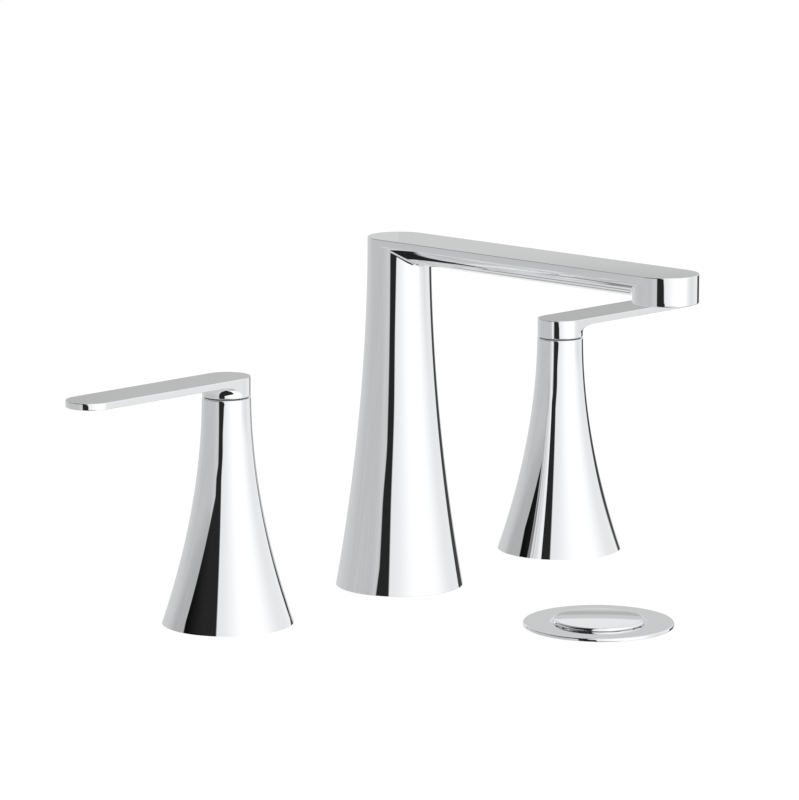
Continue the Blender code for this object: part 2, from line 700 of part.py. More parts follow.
def spout_body(parent):
    """The chrome casting, with the column's cavity, the tube's socket, the channel and the aerator's bore."""
    outline = stadium(
        SPOUT_REACH, SPOUT_NECK_RADIUS, SHELL_STEPS // 2, ARM_SIDE_POINTS, ARM_TIP_STEPS
    )
    body = sheaf("spout_body", outline, spout_section, parent, "chrome")

    land = RETAINER_RADIUS + FIT_GAP
    rise = (SPOUT_CAVITY_HEIGHT - RIM_HEIGHT) / SPOUT_CAVITY_RINGS
    walls = []
    for k in range(SPOUT_CAVITY_RINGS + 1):
        z = RIM_HEIGHT + rise * k
        outer = flare(SPOUT_BASE_RADIUS, SPOUT_NECK_RADIUS, SPOUT_HEIGHT, SPOUT_FLARE_POWER, z)
        walls.append((min(outer - CHROME_WALL, land), z))
    socket = TUBE_RADIUS + FIT_GAP
    groove = socket + O_RING_WALL + FIT_GAP
    groove_bottom = SPOUT_CAVITY_HEIGHT + O_RING_INSET - FIT_GAP
    groove_top = groove_bottom + O_RING_THICKNESS + 2 * FIT_GAP
    cavity = (
        [(0, -OVERRUN), (land, -OVERRUN), (land, RIM_HEIGHT - FIT_GAP)]
        + walls
        + [
            (socket, SPOUT_CAVITY_HEIGHT),
            (socket, groove_bottom),
            (groove, groove_bottom),
            (groove, groove_top),
            (socket, groove_top),
            (socket, TUBE_TOP),
            (TUBE_BORE_RADIUS, TUBE_TOP),
            (TUBE_BORE_RADIUS, CHANNEL_BOTTOM + CHANNEL_HEIGHT / 2),
            (0, CHANNEL_BOTTOM + CHANNEL_HEIGHT / 2),
        ]
    )
    half = CHANNEL_WIDTH / 2
    channel_low = (-TUBE_BORE_RADIUS, -half, CHANNEL_BOTTOM)
    channel_high = (SPOUT_REACH, half, CHANNEL_BOTTOM + CHANNEL_HEIGHT)
    wide = AERATOR_RADIUS + FIT_GAP
    bore = rod("cut_aerator_bore", wide, TIP_BOTTOM - OVERRUN, AERATOR_BORE_TOP, parent, None, RING_STEPS)
    bore.location = (SPOUT_REACH, 0, 0)
    inside = RETAINER_RADIUS - OVERRUN
    outside = SPOUT_BASE_RADIUS + OVERRUN
    hole = screw_hole("spout", inside, outside, SPOUT_SCREW_HEIGHT, SPOUT_REAR, parent)
    cut(
        body,
        turned("cut_spout_cavity", cavity, parent, None),
        box("cut_spout_channel", channel_low, channel_high, parent),
        bore,
        hole,
    )


def waterway(parent):
    """The tube up the column, with an O-ring in the shank's socket and one in the casting's."""
    bore = TUBE_RADIUS + FIT_GAP
    bottom = SOCKET_FLOOR + FIT_GAP
    top = TUBE_TOP - FIT_GAP
    ring("waterway_tube", TUBE_BORE_RADIUS, TUBE_RADIUS, bottom, top, parent, "plastic", STEM_STEPS)
    o_ring("waterway_lower_o_ring", bore, bore + O_RING_WALL, SOCKET_FLOOR + O_RING_INSET, parent)
    o_ring("waterway_upper_o_ring", bore, bore + O_RING_WALL, SPOUT_CAVITY_HEIGHT + O_RING_INSET, parent)


def spout_shank(parent):
    """A threaded shank whose collar sits on the base insert, with a socket for the waterway tube on top."""
    foot = -SPOUT_SHANK_LENGTH
    socket = TUBE_RADIUS + FIT_GAP
    groove = socket + O_RING_WALL + FIT_GAP
    groove_bottom = SOCKET_FLOOR + O_RING_INSET - FIT_GAP
    groove_top = groove_bottom + O_RING_THICKNESS + 2 * FIT_GAP
    profile = [
        (SPOUT_SHANK_BORE_RADIUS, foot),
        (SPOUT_SHANK_RADIUS, foot),
        (SPOUT_SHANK_RADIUS, COLLAR_BOTTOM),
        (COLLAR_RADIUS, COLLAR_BOTTOM),
        (COLLAR_RADIUS, SOCKET_FLOOR),
        (SOCKET_RADIUS, SOCKET_FLOOR),
        (SOCKET_RADIUS, SOCKET_TOP),
        (socket, SOCKET_TOP),
        (socket, groove_top),
        (groove, groove_top),
        (groove, groove_bottom),
        (socket, groove_bottom),
        (socket, SOCKET_FLOOR),
        (SPOUT_SHANK_BORE_RADIUS, SOCKET_FLOOR),
    ]
    turned("spout_shank", profile, parent, "brass")


def inlet_tee(parent):
    """A tee under the shank with one spigot towards each handle's valve."""
    seat = -SPOUT_SHANK_LENGTH - FIT_GAP
    top = TEE_SOCKET_DEPTH - SPOUT_SHANK_LENGTH
    shoulder = seat - CHROME_WALL
    foot = shoulder - TEE_BODY_LENGTH
    level = shoulder - TEE_BODY_LENGTH / 2
    profile = [
        (0, foot),
        (TEE_BODY_RADIUS, foot),
        (TEE_BODY_RADIUS, shoulder),
        (TEE_RADIUS, shoulder),
        (TEE_RADIUS, top),
        (SPOUT_SHANK_RADIUS + FIT_GAP, top),
        (SPOUT_SHANK_RADIUS + FIT_GAP, seat),
        (SPOUT_SHANK_BORE_RADIUS, seat),
        (SPOUT_SHANK_BORE_RADIUS, level),
        (0, level),
    ]
    tee = turned("spout_inlet_tee", profile, parent, "brass")
    inner = TEE_BODY_RADIUS - CHROME_WALL
    for way in (-1, 1):
        arm = lying(f"join_tee_{way}", TEE_ARM_RADIUS, inner, TEE_ARM_REACH, level, parent, (0, way, 0))
        join(tee, arm)
    end = TEE_ARM_REACH + OVERRUN
    cut(tee, lying("cut_tee_arms", TEE_ARM_BORE_RADIUS, -end, end, level, parent, (0, 1, 0)))


def aerator(parent):
    """The ring, the straightening insert and the washer in the tip block."""
    housing = ring(
        "aerator_housing",
        AERATOR_RADIUS - AERATOR_WALL,
        AERATOR_RADIUS,
        AERATOR_BOTTOM,
        AERATOR_BOTTOM + AERATOR_HEIGHT,
        parent,
        "chrome",
    )
    washer = ring(
        "aerator_washer",
        AERATOR_WASHER_BORE_RADIUS,
        AERATOR_RADIUS,
        AERATOR_WASHER_BOTTOM,
        AERATOR_WASHER_BOTTOM + AERATOR_WASHER_THICKNESS,
        parent,
        "rubber",
    )
    bottom = AERATOR_BOTTOM + AERATOR_INSET
    top = AERATOR_BOTTOM + AERATOR_HEIGHT
    insert = rod(
        "aerator_insert", AERATOR_RADIUS - AERATOR_WALL - FIT_GAP, bottom, top, parent, "plastic", RING_STEPS
    )
    for piece in (housing, washer, insert):
        piece.location = (SPOUT_REACH, 0, 0)
    low, high = bottom - OVERRUN, top + OVERRUN
    for k in range(AERATOR_HOLES + 1):
        hole = rod(f"cut_aerator_hole_{k}", AERATOR_HOLE_RADIUS, low, high, parent, None, steps=6)
        pitch = AERATOR_HOLE_PITCH if k else 0
        turn = math.tau * k / AERATOR_HOLES
        hole.location = (SPOUT_REACH + pitch * math.cos(turn), pitch * math.sin(turn), 0)
        cut(insert, hole)


def spout():
    axis = station("spout_station", 0, 0, -math.pi / 2)
    spout_body(axis)
    insert = base_retainer("spout_base_insert", "spout", SPOUT_SHANK_RADIUS, axis)
    seat = RETAINER_RADIUS - SCREW_POCKET_DEPTH
    cut(insert, screw_hole("insert", seat, RETAINER_RADIUS + OVERRUN, SPOUT_SCREW_HEIGHT, SPOUT_REAR, axis))
    wall = flare(SPOUT_BASE_RADIUS, SPOUT_NECK_RADIUS, SPOUT_HEIGHT, SPOUT_FLARE_POWER, SPOUT_SCREW_HEIGHT)
    head = wall - SCREW_RECESS - FIT_GAP
    set_screw("spout_set_screw", seat + FIT_GAP, head, SPOUT_SCREW_HEIGHT, SPOUT_REAR, axis)
    spout_shank(axis)
    waterway(axis)
    inlet_tee(axis)
    aerator(axis)
    under_deck("spout", SPOUT_SHANK_RADIUS, axis)


def drain_flange(parent):
    """A thin ring dished towards its throat, with a threaded spigot under it."""
    outside = THROAT_RADIUS + SPIGOT_WALL
    round_edge = FLANGE_EDGE_ROUND
    profile = [
        (THROAT_RADIUS, -SPIGOT_LENGTH),
        (outside, -SPIGOT_LENGTH),
        (outside, SEAT_RELIEF),
        (outside + SEAT_RELIEF_WIDTH, SEAT_RELIEF),
        (outside + SEAT_RELIEF_WIDTH, 0),
        (FLANGE_RADIUS - round_edge, 0),
        (FLANGE_RADIUS, round_edge),
        (FLANGE_RADIUS, FLANGE_EDGE - round_edge),
        (FLANGE_RADIUS - round_edge, FLANGE_EDGE),
        (outside, FLANGE_EDGE - FLANGE_DISH),
        (THROAT_RADIUS + round_edge, FLANGE_EDGE - FLANGE_DISH - round_edge / 2),
        (THROAT_RADIUS, FLANGE_EDGE - FLANGE_DISH - 2 * round_edge),
    ]
    turned("drain_flange", profile, parent, "chrome", SHELL_STEPS)


def drain_cap(parent):
    """A mushroom cap with a rounded shoulder, and the plug under it that carries the seal and the stem."""
    plug = THROAT_RADIUS - FIT_GAP
    groove = plug - CAP_SEAL_WALL - FIT_GAP
    groove_top = -CAP_SEAL_DROP
    groove_bottom = groove_top - CAP_SEAL_THICKNESS - 2 * FIT_GAP
    bore = CAP_STEM_RADIUS + FIT_GAP
    bore_top = CAP_STEM_ENGAGEMENT - PLUG_DEPTH
    shoulder_steps = FILLET_STEPS
    edge = CAP_TOP - CAP_CROWN
    shoulder = [math.pi / 2 * k / shoulder_steps for k in range(shoulder_steps + 1)]
    profile = [
        (0, bore_top),
        (bore, bore_top),
        (bore, -PLUG_DEPTH),
        (plug, -PLUG_DEPTH),
        (plug, groove_bottom),
        (groove, groove_bottom),
        (groove, groove_top),
        (plug, groove_top),
        (plug, CAP_UNDERSIDE),
        (CAP_RADIUS - FLANGE_EDGE_ROUND, CAP_UNDERSIDE),
    ]
    for a in shoulder:
        inset = CAP_SHOULDER * (1 - math.cos(a))
        profile.append((CAP_RADIUS - inset, edge - CAP_SHOULDER * (1 - math.sin(a))))
    profile.append((0, CAP_TOP))
    turned("drain_cap", profile, parent, "chrome", SHELL_STEPS)
    ring(
        "cap_seal",
        groove + FIT_GAP,
        plug,
        groove_bottom + FIT_GAP,
        groove_top - FIT_GAP,
        parent,
        "rubber",
    )


def cap_stem(parent):
    """The plunger under the cap, with the collar that the spring lifts."""
    collar_top = COLLAR_STOP_BOTTOM + COLLAR_STOP_HEIGHT
    profile = [
        (0, CAP_STEM_TOP - CAP_STEM_LENGTH),
        (CAP_STEM_RADIUS, CAP_STEM_TOP - CAP_STEM_LENGTH),
        (CAP_STEM_RADIUS, COLLAR_STOP_BOTTOM),
        (COLLAR_STOP_RADIUS, COLLAR_STOP_BOTTOM),
        (COLLAR_STOP_RADIUS, collar_top),
        (CAP_STEM_RADIUS, collar_top),
        (CAP_STEM_RADIUS, CAP_STEM_TOP),
        (0, CAP_STEM_TOP),
    ]
    turned("cap_stem", profile, parent, "brass", STEM_STEPS)


def click_mechanism(parent):
    """The housing on the drain's crossbar, the screwed latch cap, and the spring that lifts the stem."""
    inner = CLICK_RADIUS - CLICK_WALL
    flange_top = CLICK_FLANGE_BOTTOM + CLICK_FLANGE_HEIGHT
    profile = [
        (0, -CLICK_BOTTOM),
        (CLICK_RADIUS, -CLICK_BOTTOM),
        (CLICK_RADIUS, CLICK_FLANGE_BOTTOM),
        (CLICK_FLANGE_RADIUS, CLICK_FLANGE_BOTTOM),
        (CLICK_FLANGE_RADIUS, flange_top),
        (CLICK_RADIUS, flange_top),
        (CLICK_RADIUS, CLICK_TOP),
        (inner, CLICK_TOP),
        (inner, CLICK_FLOOR - CLICK_BOTTOM),
        (0, CLICK_FLOOR - CLICK_BOTTOM),
    ]
    turned("click_housing", profile, parent, "brass")
    bore = CAP_STEM_RADIUS + FIT_GAP
    head = LATCH_BOTTOM + LATCH_DEPTH
    latch = [
        (bore, LATCH_BOTTOM),
        (inner - FIT_GAP, LATCH_BOTTOM),
        (inner - FIT_GAP, head),
        (CLICK_RADIUS, head),
        (CLICK_RADIUS, head + LATCH_HEAD),
        (bore, head + LATCH_HEAD),
    ]
    turned("latch_cap", latch, parent, "brass")

    coil = (CAP_STEM_RADIUS + inner) / 2
    curve = bpy.data.curves.new("click_spring", "CURVE")
    curve.dimensions = "3D"
    curve.bevel_depth = SPRING_WIRE_RADIUS
    curve.bevel_resolution = 0
    curve.use_fill_caps = True
    count = SPRING_TURNS * SPRING_TURN_POINTS + 1
    spline = curve.splines.new("POLY")
    spline.points.add(count - 1)
    rise = (SPRING_LENGTH - 2 * SPRING_WIRE_RADIUS) / (count - 1)
    for k, point in enumerate(spline.points):
        turn = math.tau * k / SPRING_TURN_POINTS
        height = SPRING_BOTTOM + SPRING_WIRE_RADIUS + rise * k
        point.co = (coil * math.cos(turn), coil * math.sin(turn), height, 1)
    spring = bpy.data.objects.new("click_spring", curve)
    spring.parent = parent
    bpy.context.collection.objects.link(spring)
    curve.materials.append(material("steel"))


def drain_body(parent):
    """The threaded tube under the sink, with the crossbar that carries the click mechanism."""
    socket = THROAT_RADIUS + SPIGOT_WALL + FIT_GAP
    thread = TAILPIECE_RADIUS + FIT_GAP
    foot = -DRAIN_BODY_LENGTH
    profile = [
        (thread, foot),
        (DRAIN_BODY_RADIUS, foot),
        (DRAIN_BODY_RADIUS, -DRAIN_BODY_TOP),
        (socket, -DRAIN_BODY_TOP),
        (socket, -SPIGOT_LENGTH - FIT_GAP),
        (DRAIN_BORE_RADIUS, -SPIGOT_LENGTH - FIT_GAP),
        (DRAIN_BORE_RADIUS, TAILPIECE_SHOULDER),
        (thread, TAILPIECE_SHOULDER),
    ]
    body = turned("drain_body", profile, parent, "brass", SHELL_STEPS)
    top = CLICK_FLANGE_BOTTOM - FIT_GAP
    bottom = top - CROSSBAR_HEIGHT
    hole = CLICK_RADIUS + FIT_GAP
    reach = (DRAIN_BORE_RADIUS + DRAIN_BODY_RADIUS) / 2
    half = CROSSBAR_WIDTH / 2
    boss = ring("join_drain_boss", hole, hole + CROSSBAR_BOSS_WALL, bottom, top, parent, None)
    for way in (-1, 1):
        near = way * (hole + CROSSBAR_BOSS_WALL / 2)
        far = way * reach
        low = (-half, min(near, far), bottom)
        high = (half, max(near, far), top)
        join(boss, box(f"join_crossbar_{way}", low, high, parent))
    join(body, boss)


def drain_clamp(parent):
    """The rubber washer, the friction washer and the nut under the sink, and the tailpiece with its seal."""
    bore = DRAIN_BODY_RADIUS + FIT_GAP
    top = -DECK_THICKNESS
    bottom = top - SINK_WASHER_HEIGHT
    washer = [
        (bore, bottom),
        (SINK_WASHER_RADIUS - SINK_WASHER_TAPER, bottom),
        (SINK_WASHER_RADIUS, top),
        (bore, top),
    ]
    turned("sink_washer", washer, parent, "rubber")
    top = bottom - FIT_GAP
    bottom = top - FRICTION_WASHER_THICKNESS
    ring("friction_washer", bore, FRICTION_WASHER_RADIUS, bottom, top, parent, "plastic")
    top = bottom - FIT_GAP
    hex_nut("drain_nut", bore, DRAIN_NUT_FLATS, top - DRAIN_NUT_HEIGHT, top, parent, "brass")
    top = TAILPIECE_SHOULDER - FIT_GAP
    bottom = top - TAILPIECE_SEAL_THICKNESS
    inner = TAILPIECE_RADIUS - TAILPIECE_SEAL_WALL
    ring("tailpiece_seal", inner, TAILPIECE_RADIUS, bottom, top, parent, "rubber")
    top = bottom - FIT_GAP
    ring(
        "tailpiece",
        TAILPIECE_RADIUS - TAILPIECE_WALL,
        TAILPIECE_RADIUS,
        top - TAILPIECE_LENGTH,
        top,
        parent,
        "chrome",
        SHELL_STEPS // 2,
    )


def drain():
    axis = station("drain_station", 0, -DRAIN_OFFSET, 0)
    drain_flange(axis)
    drain_cap(axis)
    cap_stem(axis)
    click_mechanism(axis)
    drain_body(axis)
    drain_clamp(axis)


def main():
    for old in list(bpy.data.objects):
        bpy.data.objects.remove(old)
    handle("left", -HANDLE_CENTRES / 2, math.pi, -1)
    handle("right", HANDLE_CENTRES / 2, 0, 1)
    spout()
    drain()


main()
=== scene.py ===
import json
import math

import bmesh
import bpy
from mathutils import Matrix, Vector

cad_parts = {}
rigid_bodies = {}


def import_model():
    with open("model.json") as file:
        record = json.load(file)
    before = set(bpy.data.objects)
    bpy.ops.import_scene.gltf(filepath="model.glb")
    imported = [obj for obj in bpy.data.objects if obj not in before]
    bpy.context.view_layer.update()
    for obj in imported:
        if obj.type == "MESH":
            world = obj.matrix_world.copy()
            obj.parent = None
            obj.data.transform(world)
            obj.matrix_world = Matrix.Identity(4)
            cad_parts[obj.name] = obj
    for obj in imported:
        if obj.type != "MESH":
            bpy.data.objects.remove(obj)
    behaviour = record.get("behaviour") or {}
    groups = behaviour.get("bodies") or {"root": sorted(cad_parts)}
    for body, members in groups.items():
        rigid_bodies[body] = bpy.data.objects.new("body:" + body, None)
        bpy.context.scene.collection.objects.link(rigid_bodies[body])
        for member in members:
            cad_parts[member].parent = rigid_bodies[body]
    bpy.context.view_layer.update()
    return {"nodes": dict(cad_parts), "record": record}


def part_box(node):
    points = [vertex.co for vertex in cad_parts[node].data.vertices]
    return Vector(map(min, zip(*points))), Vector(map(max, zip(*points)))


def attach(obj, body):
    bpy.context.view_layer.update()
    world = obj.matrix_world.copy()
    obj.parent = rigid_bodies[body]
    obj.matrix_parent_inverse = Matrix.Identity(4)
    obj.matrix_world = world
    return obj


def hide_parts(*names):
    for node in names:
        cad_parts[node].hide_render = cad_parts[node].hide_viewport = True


bl_info = {
    "name": "Widespread Faucet",
    "version": (1, 0, 0),
    "blender": (4, 5, 0),
    "location": "3D View > Sidebar > Faucet",
    "description": "Dresses the packed faucet: its castings, handles, drain, threads, finishes and studio",
    "category": "Object",
}

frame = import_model()

MM = 0.001
QUARTER = math.pi / 2
MERGE = 0.004 * MM
GAP = 0.3 * MM
SHARP = math.radians(30)
SIDES = ("left", "right")
# Walls of the castings, the straight seat inside their feet, and the holes for their set screws
CASTING_WALL = 2.0 * MM
SEAT_HEIGHT = 9.0 * MM
SCREW_HOLE = 1.8 * MM
# Further than any cutter has to reach past a surface
OVER = 1.0 * MM


def centre(node):
    """Middle of a node's box, in the plane of the deck."""
    low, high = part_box(node)
    return (low.x + high.x) / 2, (low.y + high.y) / 2


def reach(node):
    """Half of a round node's width."""
    low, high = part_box(node)
    return (high.x - low.x) / 2


def levels(node):
    """Lowest and highest point of a node."""
    low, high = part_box(node)
    return low.z, high.z


# Sizes and colours that a user may change


def length(label, words, default):
    return bpy.props.FloatProperty(
        name=label, description=words, default=default, subtype="DISTANCE", unit="LENGTH", precision=5
    )


def number(label, words, default, low=0.0, high=100.0):
    return bpy.props.FloatProperty(name=label, description=words, default=default, min=low, max=high)


def colour(label, words, default):
    return bpy.props.FloatVectorProperty(
        name=label, description=words, default=default, subtype="COLOR", size=3, min=0, max=1
    )


class SpoutSizes(bpy.types.PropertyGroup):
    """The spout: a flared column, an arm with a rounded belly, and a round tip."""

    height: length("Height", "Deck to the flat top", levels("spout_body")[1])
    foot_radius: length("Foot radius", "Radius of the column on the deck", reach("spout_body"))
    neck_radius: length("Neck radius", "Radius of the column under the arm, half the arm's width", 13.5 * MM)
    flare: number("Flare", "How late the column spreads on its way down", 1.94)
    arm_reach: length("Reach", "Column's axis to the tip's axis", 148.0 * MM)
    arm_side: length("Arm side", "Height of the arm's upright side", 2.8 * MM)
    arm_belly: length("Arm belly", "Depth of the rounded underside below the upright side", 8.1 * MM)
    fillet: length("Fillet", "Rounding between the column and the arm's belly", 1.3 * MM)
    tip_fillet: length("Tip fillet", "Rounding between the arm's belly and the round tip", 1.2 * MM)
    tip_depth: length("Tip depth", "Height of the round tip", 11.8 * MM)
    edge: length("Edge", "Rounding of the top edge", 0.35 * MM)
    crown: length("Crown", "Top down to the cavity", 29.6 * MM)


class HandleSizes(bpy.types.PropertyGroup):
    """The two handles: a flared bell on the deck and a lever on top of it."""

    bell_height: length("Bell height", "Deck to the bell's top", levels("left_bell")[1])
    bell_foot_radius: length("Bell foot radius", "Radius of the bell on the deck", reach("left_bell"))
    bell_neck_radius: length("Bell neck radius", "Radius of the bell's top", 10.15 * MM)
    bell_flare: number("Bell flare", "How late the bell spreads on its way down", 1.88)
    hub_radius: length("Hub radius", "Radius of the lever's hub, and half of the lever's width", 10.0 * MM)
    lever_reach: length("Lever reach", "Hub's axis to the middle of the lever's round end", 74.7 * MM)
    lever_thickness: length("Lever thickness", "Thickness of the flat bar", 2.8 * MM)
    lever_fillet: length("Lever fillet", "Rounding between the hub and the bar", 3.8 * MM)
    edge: length("Edge", "Rounding of the edges", 0.3 * MM)


class DrainSizes(bpy.types.PropertyGroup):
    """The drain: a flange with a recess, and a mushroom cap that sits in it."""

    flange_edge: length("Flange edge", "Height of the flange's rim", 1.4 * MM)
    flange_recess: length("Flange recess", "Rim down to the recess under the cap", 0.9 * MM)
    throat_radius: length("Throat radius", "Radius of the flange's hole", 15.5 * MM)
    cap_underside: length("Cap underside", "Deck to the underside of the cap's rim", 1.3 * MM)
    cap_shoulder: length("Cap shoulder", "Rounding of the cap's rim", 1.2 * MM)
    cap_crown: length("Cap crown", "Rise of the cap from its shoulder to its middle", 0.5 * MM)


class ThreadSizes(bpy.types.PropertyGroup):
    """Pitches and depths of the threads."""

    shank_pitch: length("Shank pitch", "Pitch of the threads that hold the castings", 1.5 * MM)
    shank_depth: length("Shank depth", "Depth of those threads' groove", 0.7 * MM)
    inlet_pitch: length("Inlet pitch", "Pitch of the 1/2 in supply thread", 1.8 * MM)
    inlet_depth: length("Inlet depth", "Depth of the supply thread's groove", 0.8 * MM)
    drain_pitch: length("Drain pitch", "Pitch of the thread on the drain's barrel", 2.0 * MM)
    drain_depth: length("Drain depth", "Depth of the barrel thread's groove", 0.9 * MM)


class Finishes(bpy.types.PropertyGroup):
    """Colours of the finishes."""

    chrome: colour("Chrome", "Polished chrome plate", (0.86, 0.87, 0.88))
    brass: colour("Brass", "Machined brass", (0.72, 0.55, 0.27))
    steel: colour("Steel", "Stainless steel", (0.60, 0.60, 0.61))
    rubber: colour("Rubber", "Matte black rubber", (0.02, 0.02, 0.02))
    plastic: colour("Plastic", "Moulded plastic", (0.12, 0.12, 0.13))
    ceramic: colour("Ceramic", "Lapped ceramic", (0.85, 0.84, 0.80))


class Studio(bpy.types.PropertyGroup):
    """The floor, the light and the camera."""

    camera_place: bpy.props.FloatVectorProperty(
        name="Camera", description="Where the camera stands", default=(-1.4034, -1.3548, 0.4351),
        subtype="TRANSLATION", unit="LENGTH", size=3, precision=4,
    )
    camera_heading: bpy.props.FloatProperty(
        name="Heading", description="Way the camera looks, from +Y towards +X",
        default=math.radians(46.011), subtype="ANGLE",
    )
    camera_dip: bpy.props.FloatProperty(
        name="Dip", description="How far the camera looks down", default=math.radians(10.335), subtype="ANGLE"
    )
    camera_lens: number("Lens", "Focal length in millimetres on a 36 mm sensor", 210.44, 1, 2000)
    floor_size: length("Floor", "Side of the square floor", 6.0)
    lamp_size: length("Lamp size", "Side of the square lamp", 1.2)
    lamp_power: number("Lamp power", "Power of the lamp in watts", 6.0, 0, 1000)


class FaucetSettings(bpy.types.PropertyGroup):
    """All settings of the set."""

    spout: bpy.props.PointerProperty(type=SpoutSizes)
    handles: bpy.props.PointerProperty(type=HandleSizes)
    drain: bpy.props.PointerProperty(type=DrainSizes)
    threads: bpy.props.PointerProperty(type=ThreadSizes)
    finishes: bpy.props.PointerProperty(type=Finishes)
    studio: bpy.props.PointerProperty(type=Studio)


# Node trees


class Term:
    """A socket in an expression: arithmetic on it adds Math nodes to its tree."""

    def __init__(self, maker, socket):
        self.maker = maker
        self.socket = socket

    def math(self, operation, *others):
        return self.maker.add("ShaderNodeMath", {"operation": operation}, (self, *others)).out()

    def __add__(self, other):
        return self.math("ADD", other)

    def __sub__(self, other):
        return self.math("SUBTRACT", other)

    def __mul__(self, other):
        return self.math("MULTIPLY", other)

    def __truediv__(self, other):
        return self.math("DIVIDE", other)

    def __pow__(self, other):
        return self.math("POWER", other)

    def __neg__(self):
        return self.math("MULTIPLY", -1.0)

    def __rsub__(self, other):
        return (-self).math("ADD", other)

    def __rtruediv__(self, other):
        return self.math("POWER", -1.0).math("MULTIPLY", other)

    __radd__ = __add__
    __rmul__ = __mul__

    def least(self, other):
        return self.math("MINIMUM", other)

    def most(self, other):
        return self.math("MAXIMUM", other)

    def between(self, low, high):
        """0 below low, 1 above high, smooth in between; high may be below low."""
        inputs = (self, low, high, 0.0, 1.0) if low < high else (self, high, low, 1.0, 0.0)
        return self.maker.add("ShaderNodeMapRange", {"interpolation_type": "SMOOTHSTEP"}, inputs).out()


class Added:
    """A node that was added, with its outputs as terms."""

    def __init__(self, maker, node):
        self.maker = maker
        self.node = node

    def out(self, key=0):
        return Term(self.maker, self.node.outputs[key])


class Maker:
    """Adds nodes to one tree."""

    def __init__(self, tree):
        self.tree = tree

    def add(self, kind, settings=None, inputs=()):
        """Adds a node of a type with its settings, and gives its inputs values or links."""
        node = self.tree.nodes.new(kind)
        settings = dict(settings or {})
        stops = settings.pop("stops", None)
        for name, value in settings.items():
            setattr(node, name, value)
        if stops:
            ramp = node.color_ramp.elements
            while len(ramp) < len(stops):
                ramp.new(0.5)
            for element, (place, shade) in zip(ramp, stops):
                element.position = place
                element.color = (*shade, 1) if len(shade) == 3 else shade
        pairs = inputs.items() if isinstance(inputs, dict) else enumerate(inputs)
        for key, value in pairs:
            socket = node.inputs[key]
            if isinstance(value, Term):
                self.tree.links.new(value.socket, socket)
            elif socket.type == "RGBA" and len(value) == 3:
                socket.default_value = (*value, 1)
            else:
                socket.default_value = value
        return Added(self, node)

    def blend(self, share, low, high):
        """A colour between two colours or colour sockets."""
        settings = {"data_type": "RGBA", "clamp_factor": True}
        inputs = {"Factor": share, 6: low, 7: high}
        return self.add("ShaderNodeMix", settings, inputs).out(2)

    def noise(self, place, scale, detail=3.0, roughness=0.5):
        inputs = {"Vector": place, "Scale": scale, "Detail": detail, "Roughness": roughness}
        return self.add("ShaderNodeTexNoise", {}, inputs).out(0)

    def stretch(self, place, scale):
        settings = {"operation": "MULTIPLY"}
        return self.add("ShaderNodeVectorMath", settings, (place, scale)).out(0)


def surface(name):
    """A new material with a Principled shader; returns its maker, the shader and the object coordinates."""
    material = bpy.data.materials.new(name)
    material.use_nodes = True
    tree = material.node_tree
    tree.nodes.clear()
    maker = Maker(tree)
    shader = maker.add("ShaderNodeBsdfPrincipled")
    maker.add("ShaderNodeOutputMaterial", {}, {"Surface": shader.out("BSDF")})
    place = maker.add("ShaderNodeTexCoord").out("Object")
    return material, maker, shader.node, place


def feed(maker, shader, **values):
    """Sets or links the shader's sockets, with underscores for the spaces of their names."""
    for name, value in values.items():
        socket = shader.inputs[name.replace("_", " ")]
        if isinstance(value, Term):
            maker.tree.links.new(value.socket, socket)
        elif socket.type == "RGBA":
            socket.default_value = (*value, 1)
        else:
            socket.default_value = value


def bumped(maker, height, distance, strength=1.0):
    inputs = {"Height": height, "Distance": distance, "Strength": strength}
    return maker.add("ShaderNodeBump", {}, inputs).out("Normal")


def polished_chrome(tone):
    """Chrome plate: a mirror with faint polishing waves and a breath of haze."""
    material, maker, shader, place = surface("polished_chrome")
    haze = maker.noise(place, 90.0, 4.0)
    waves = maker.noise(place, 26.0, 1.0)
    feed(
        maker, shader,
        Base_Color=tone,
        Metallic=1.0,
        Roughness=haze.between(0.35, 0.75) * 0.016 + 0.012,
        Normal=bumped(maker, waves, 0.02 * MM, 0.25),
    )
    return material


def machined_brass(tone):
    """Turned brass: fine rings from the tool and a little tarnish."""
    material, maker, shader, place = surface("machined_brass")
    tarnish = maker.noise(place, 60.0, 5.0, 0.6).between(0.38, 0.72)
    rings = maker.add(
        "ShaderNodeTexWave",
        {"wave_type": "BANDS", "bands_direction": "Z"},
        {"Vector": place, "Scale": 900.0, "Distortion": 0.8, "Detail": 2.0},
    ).out(1)
    dark = tuple(part * shade for part, shade in zip(tone, (0.78, 0.70, 0.60)))
    feed(
        maker, shader,
        Base_Color=maker.blend(tarnish, tone, dark),
        Metallic=1.0,
        Roughness=tarnish * 0.14 + rings * 0.05 + 0.2,
        Normal=bumped(maker, rings, 0.01 * MM, 0.6),
    )
    return material


def stainless_steel(tone):
    """Plain stainless steel, drawn and lightly brushed."""
    material, maker, shader, place = surface("stainless_steel")
    streaks = maker.noise(maker.stretch(place, (900.0, 900.0, 120.0)), 1.0, 2.0)
    dark = tuple(part * 0.82 for part in tone)
    feed(
        maker, shader,
        Base_Color=maker.blend(streaks.between(0.3, 0.7), tone, dark),
        Metallic=1.0,
        Roughness=streaks * 0.2 + 0.2,
        Normal=bumped(maker, streaks, 0.01 * MM, 0.5),
    )
    return material


def black_rubber(tone):
    """Moulded rubber with a fine dusty grain."""
    material, maker, shader, place = surface("black_rubber")
    grain = maker.noise(place, 2600.0, 3.0, 0.6)
    dust = maker.noise(place, 120.0, 4.0).between(0.45, 0.8)
    pale = tuple(part + 0.03 for part in tone)
    feed(
        maker, shader,
        Base_Color=maker.blend(dust, tone, pale),
        Roughness=dust * 0.12 + 0.68,
        Normal=bumped(maker, grain, 0.04 * MM, 0.5),
    )
    return material


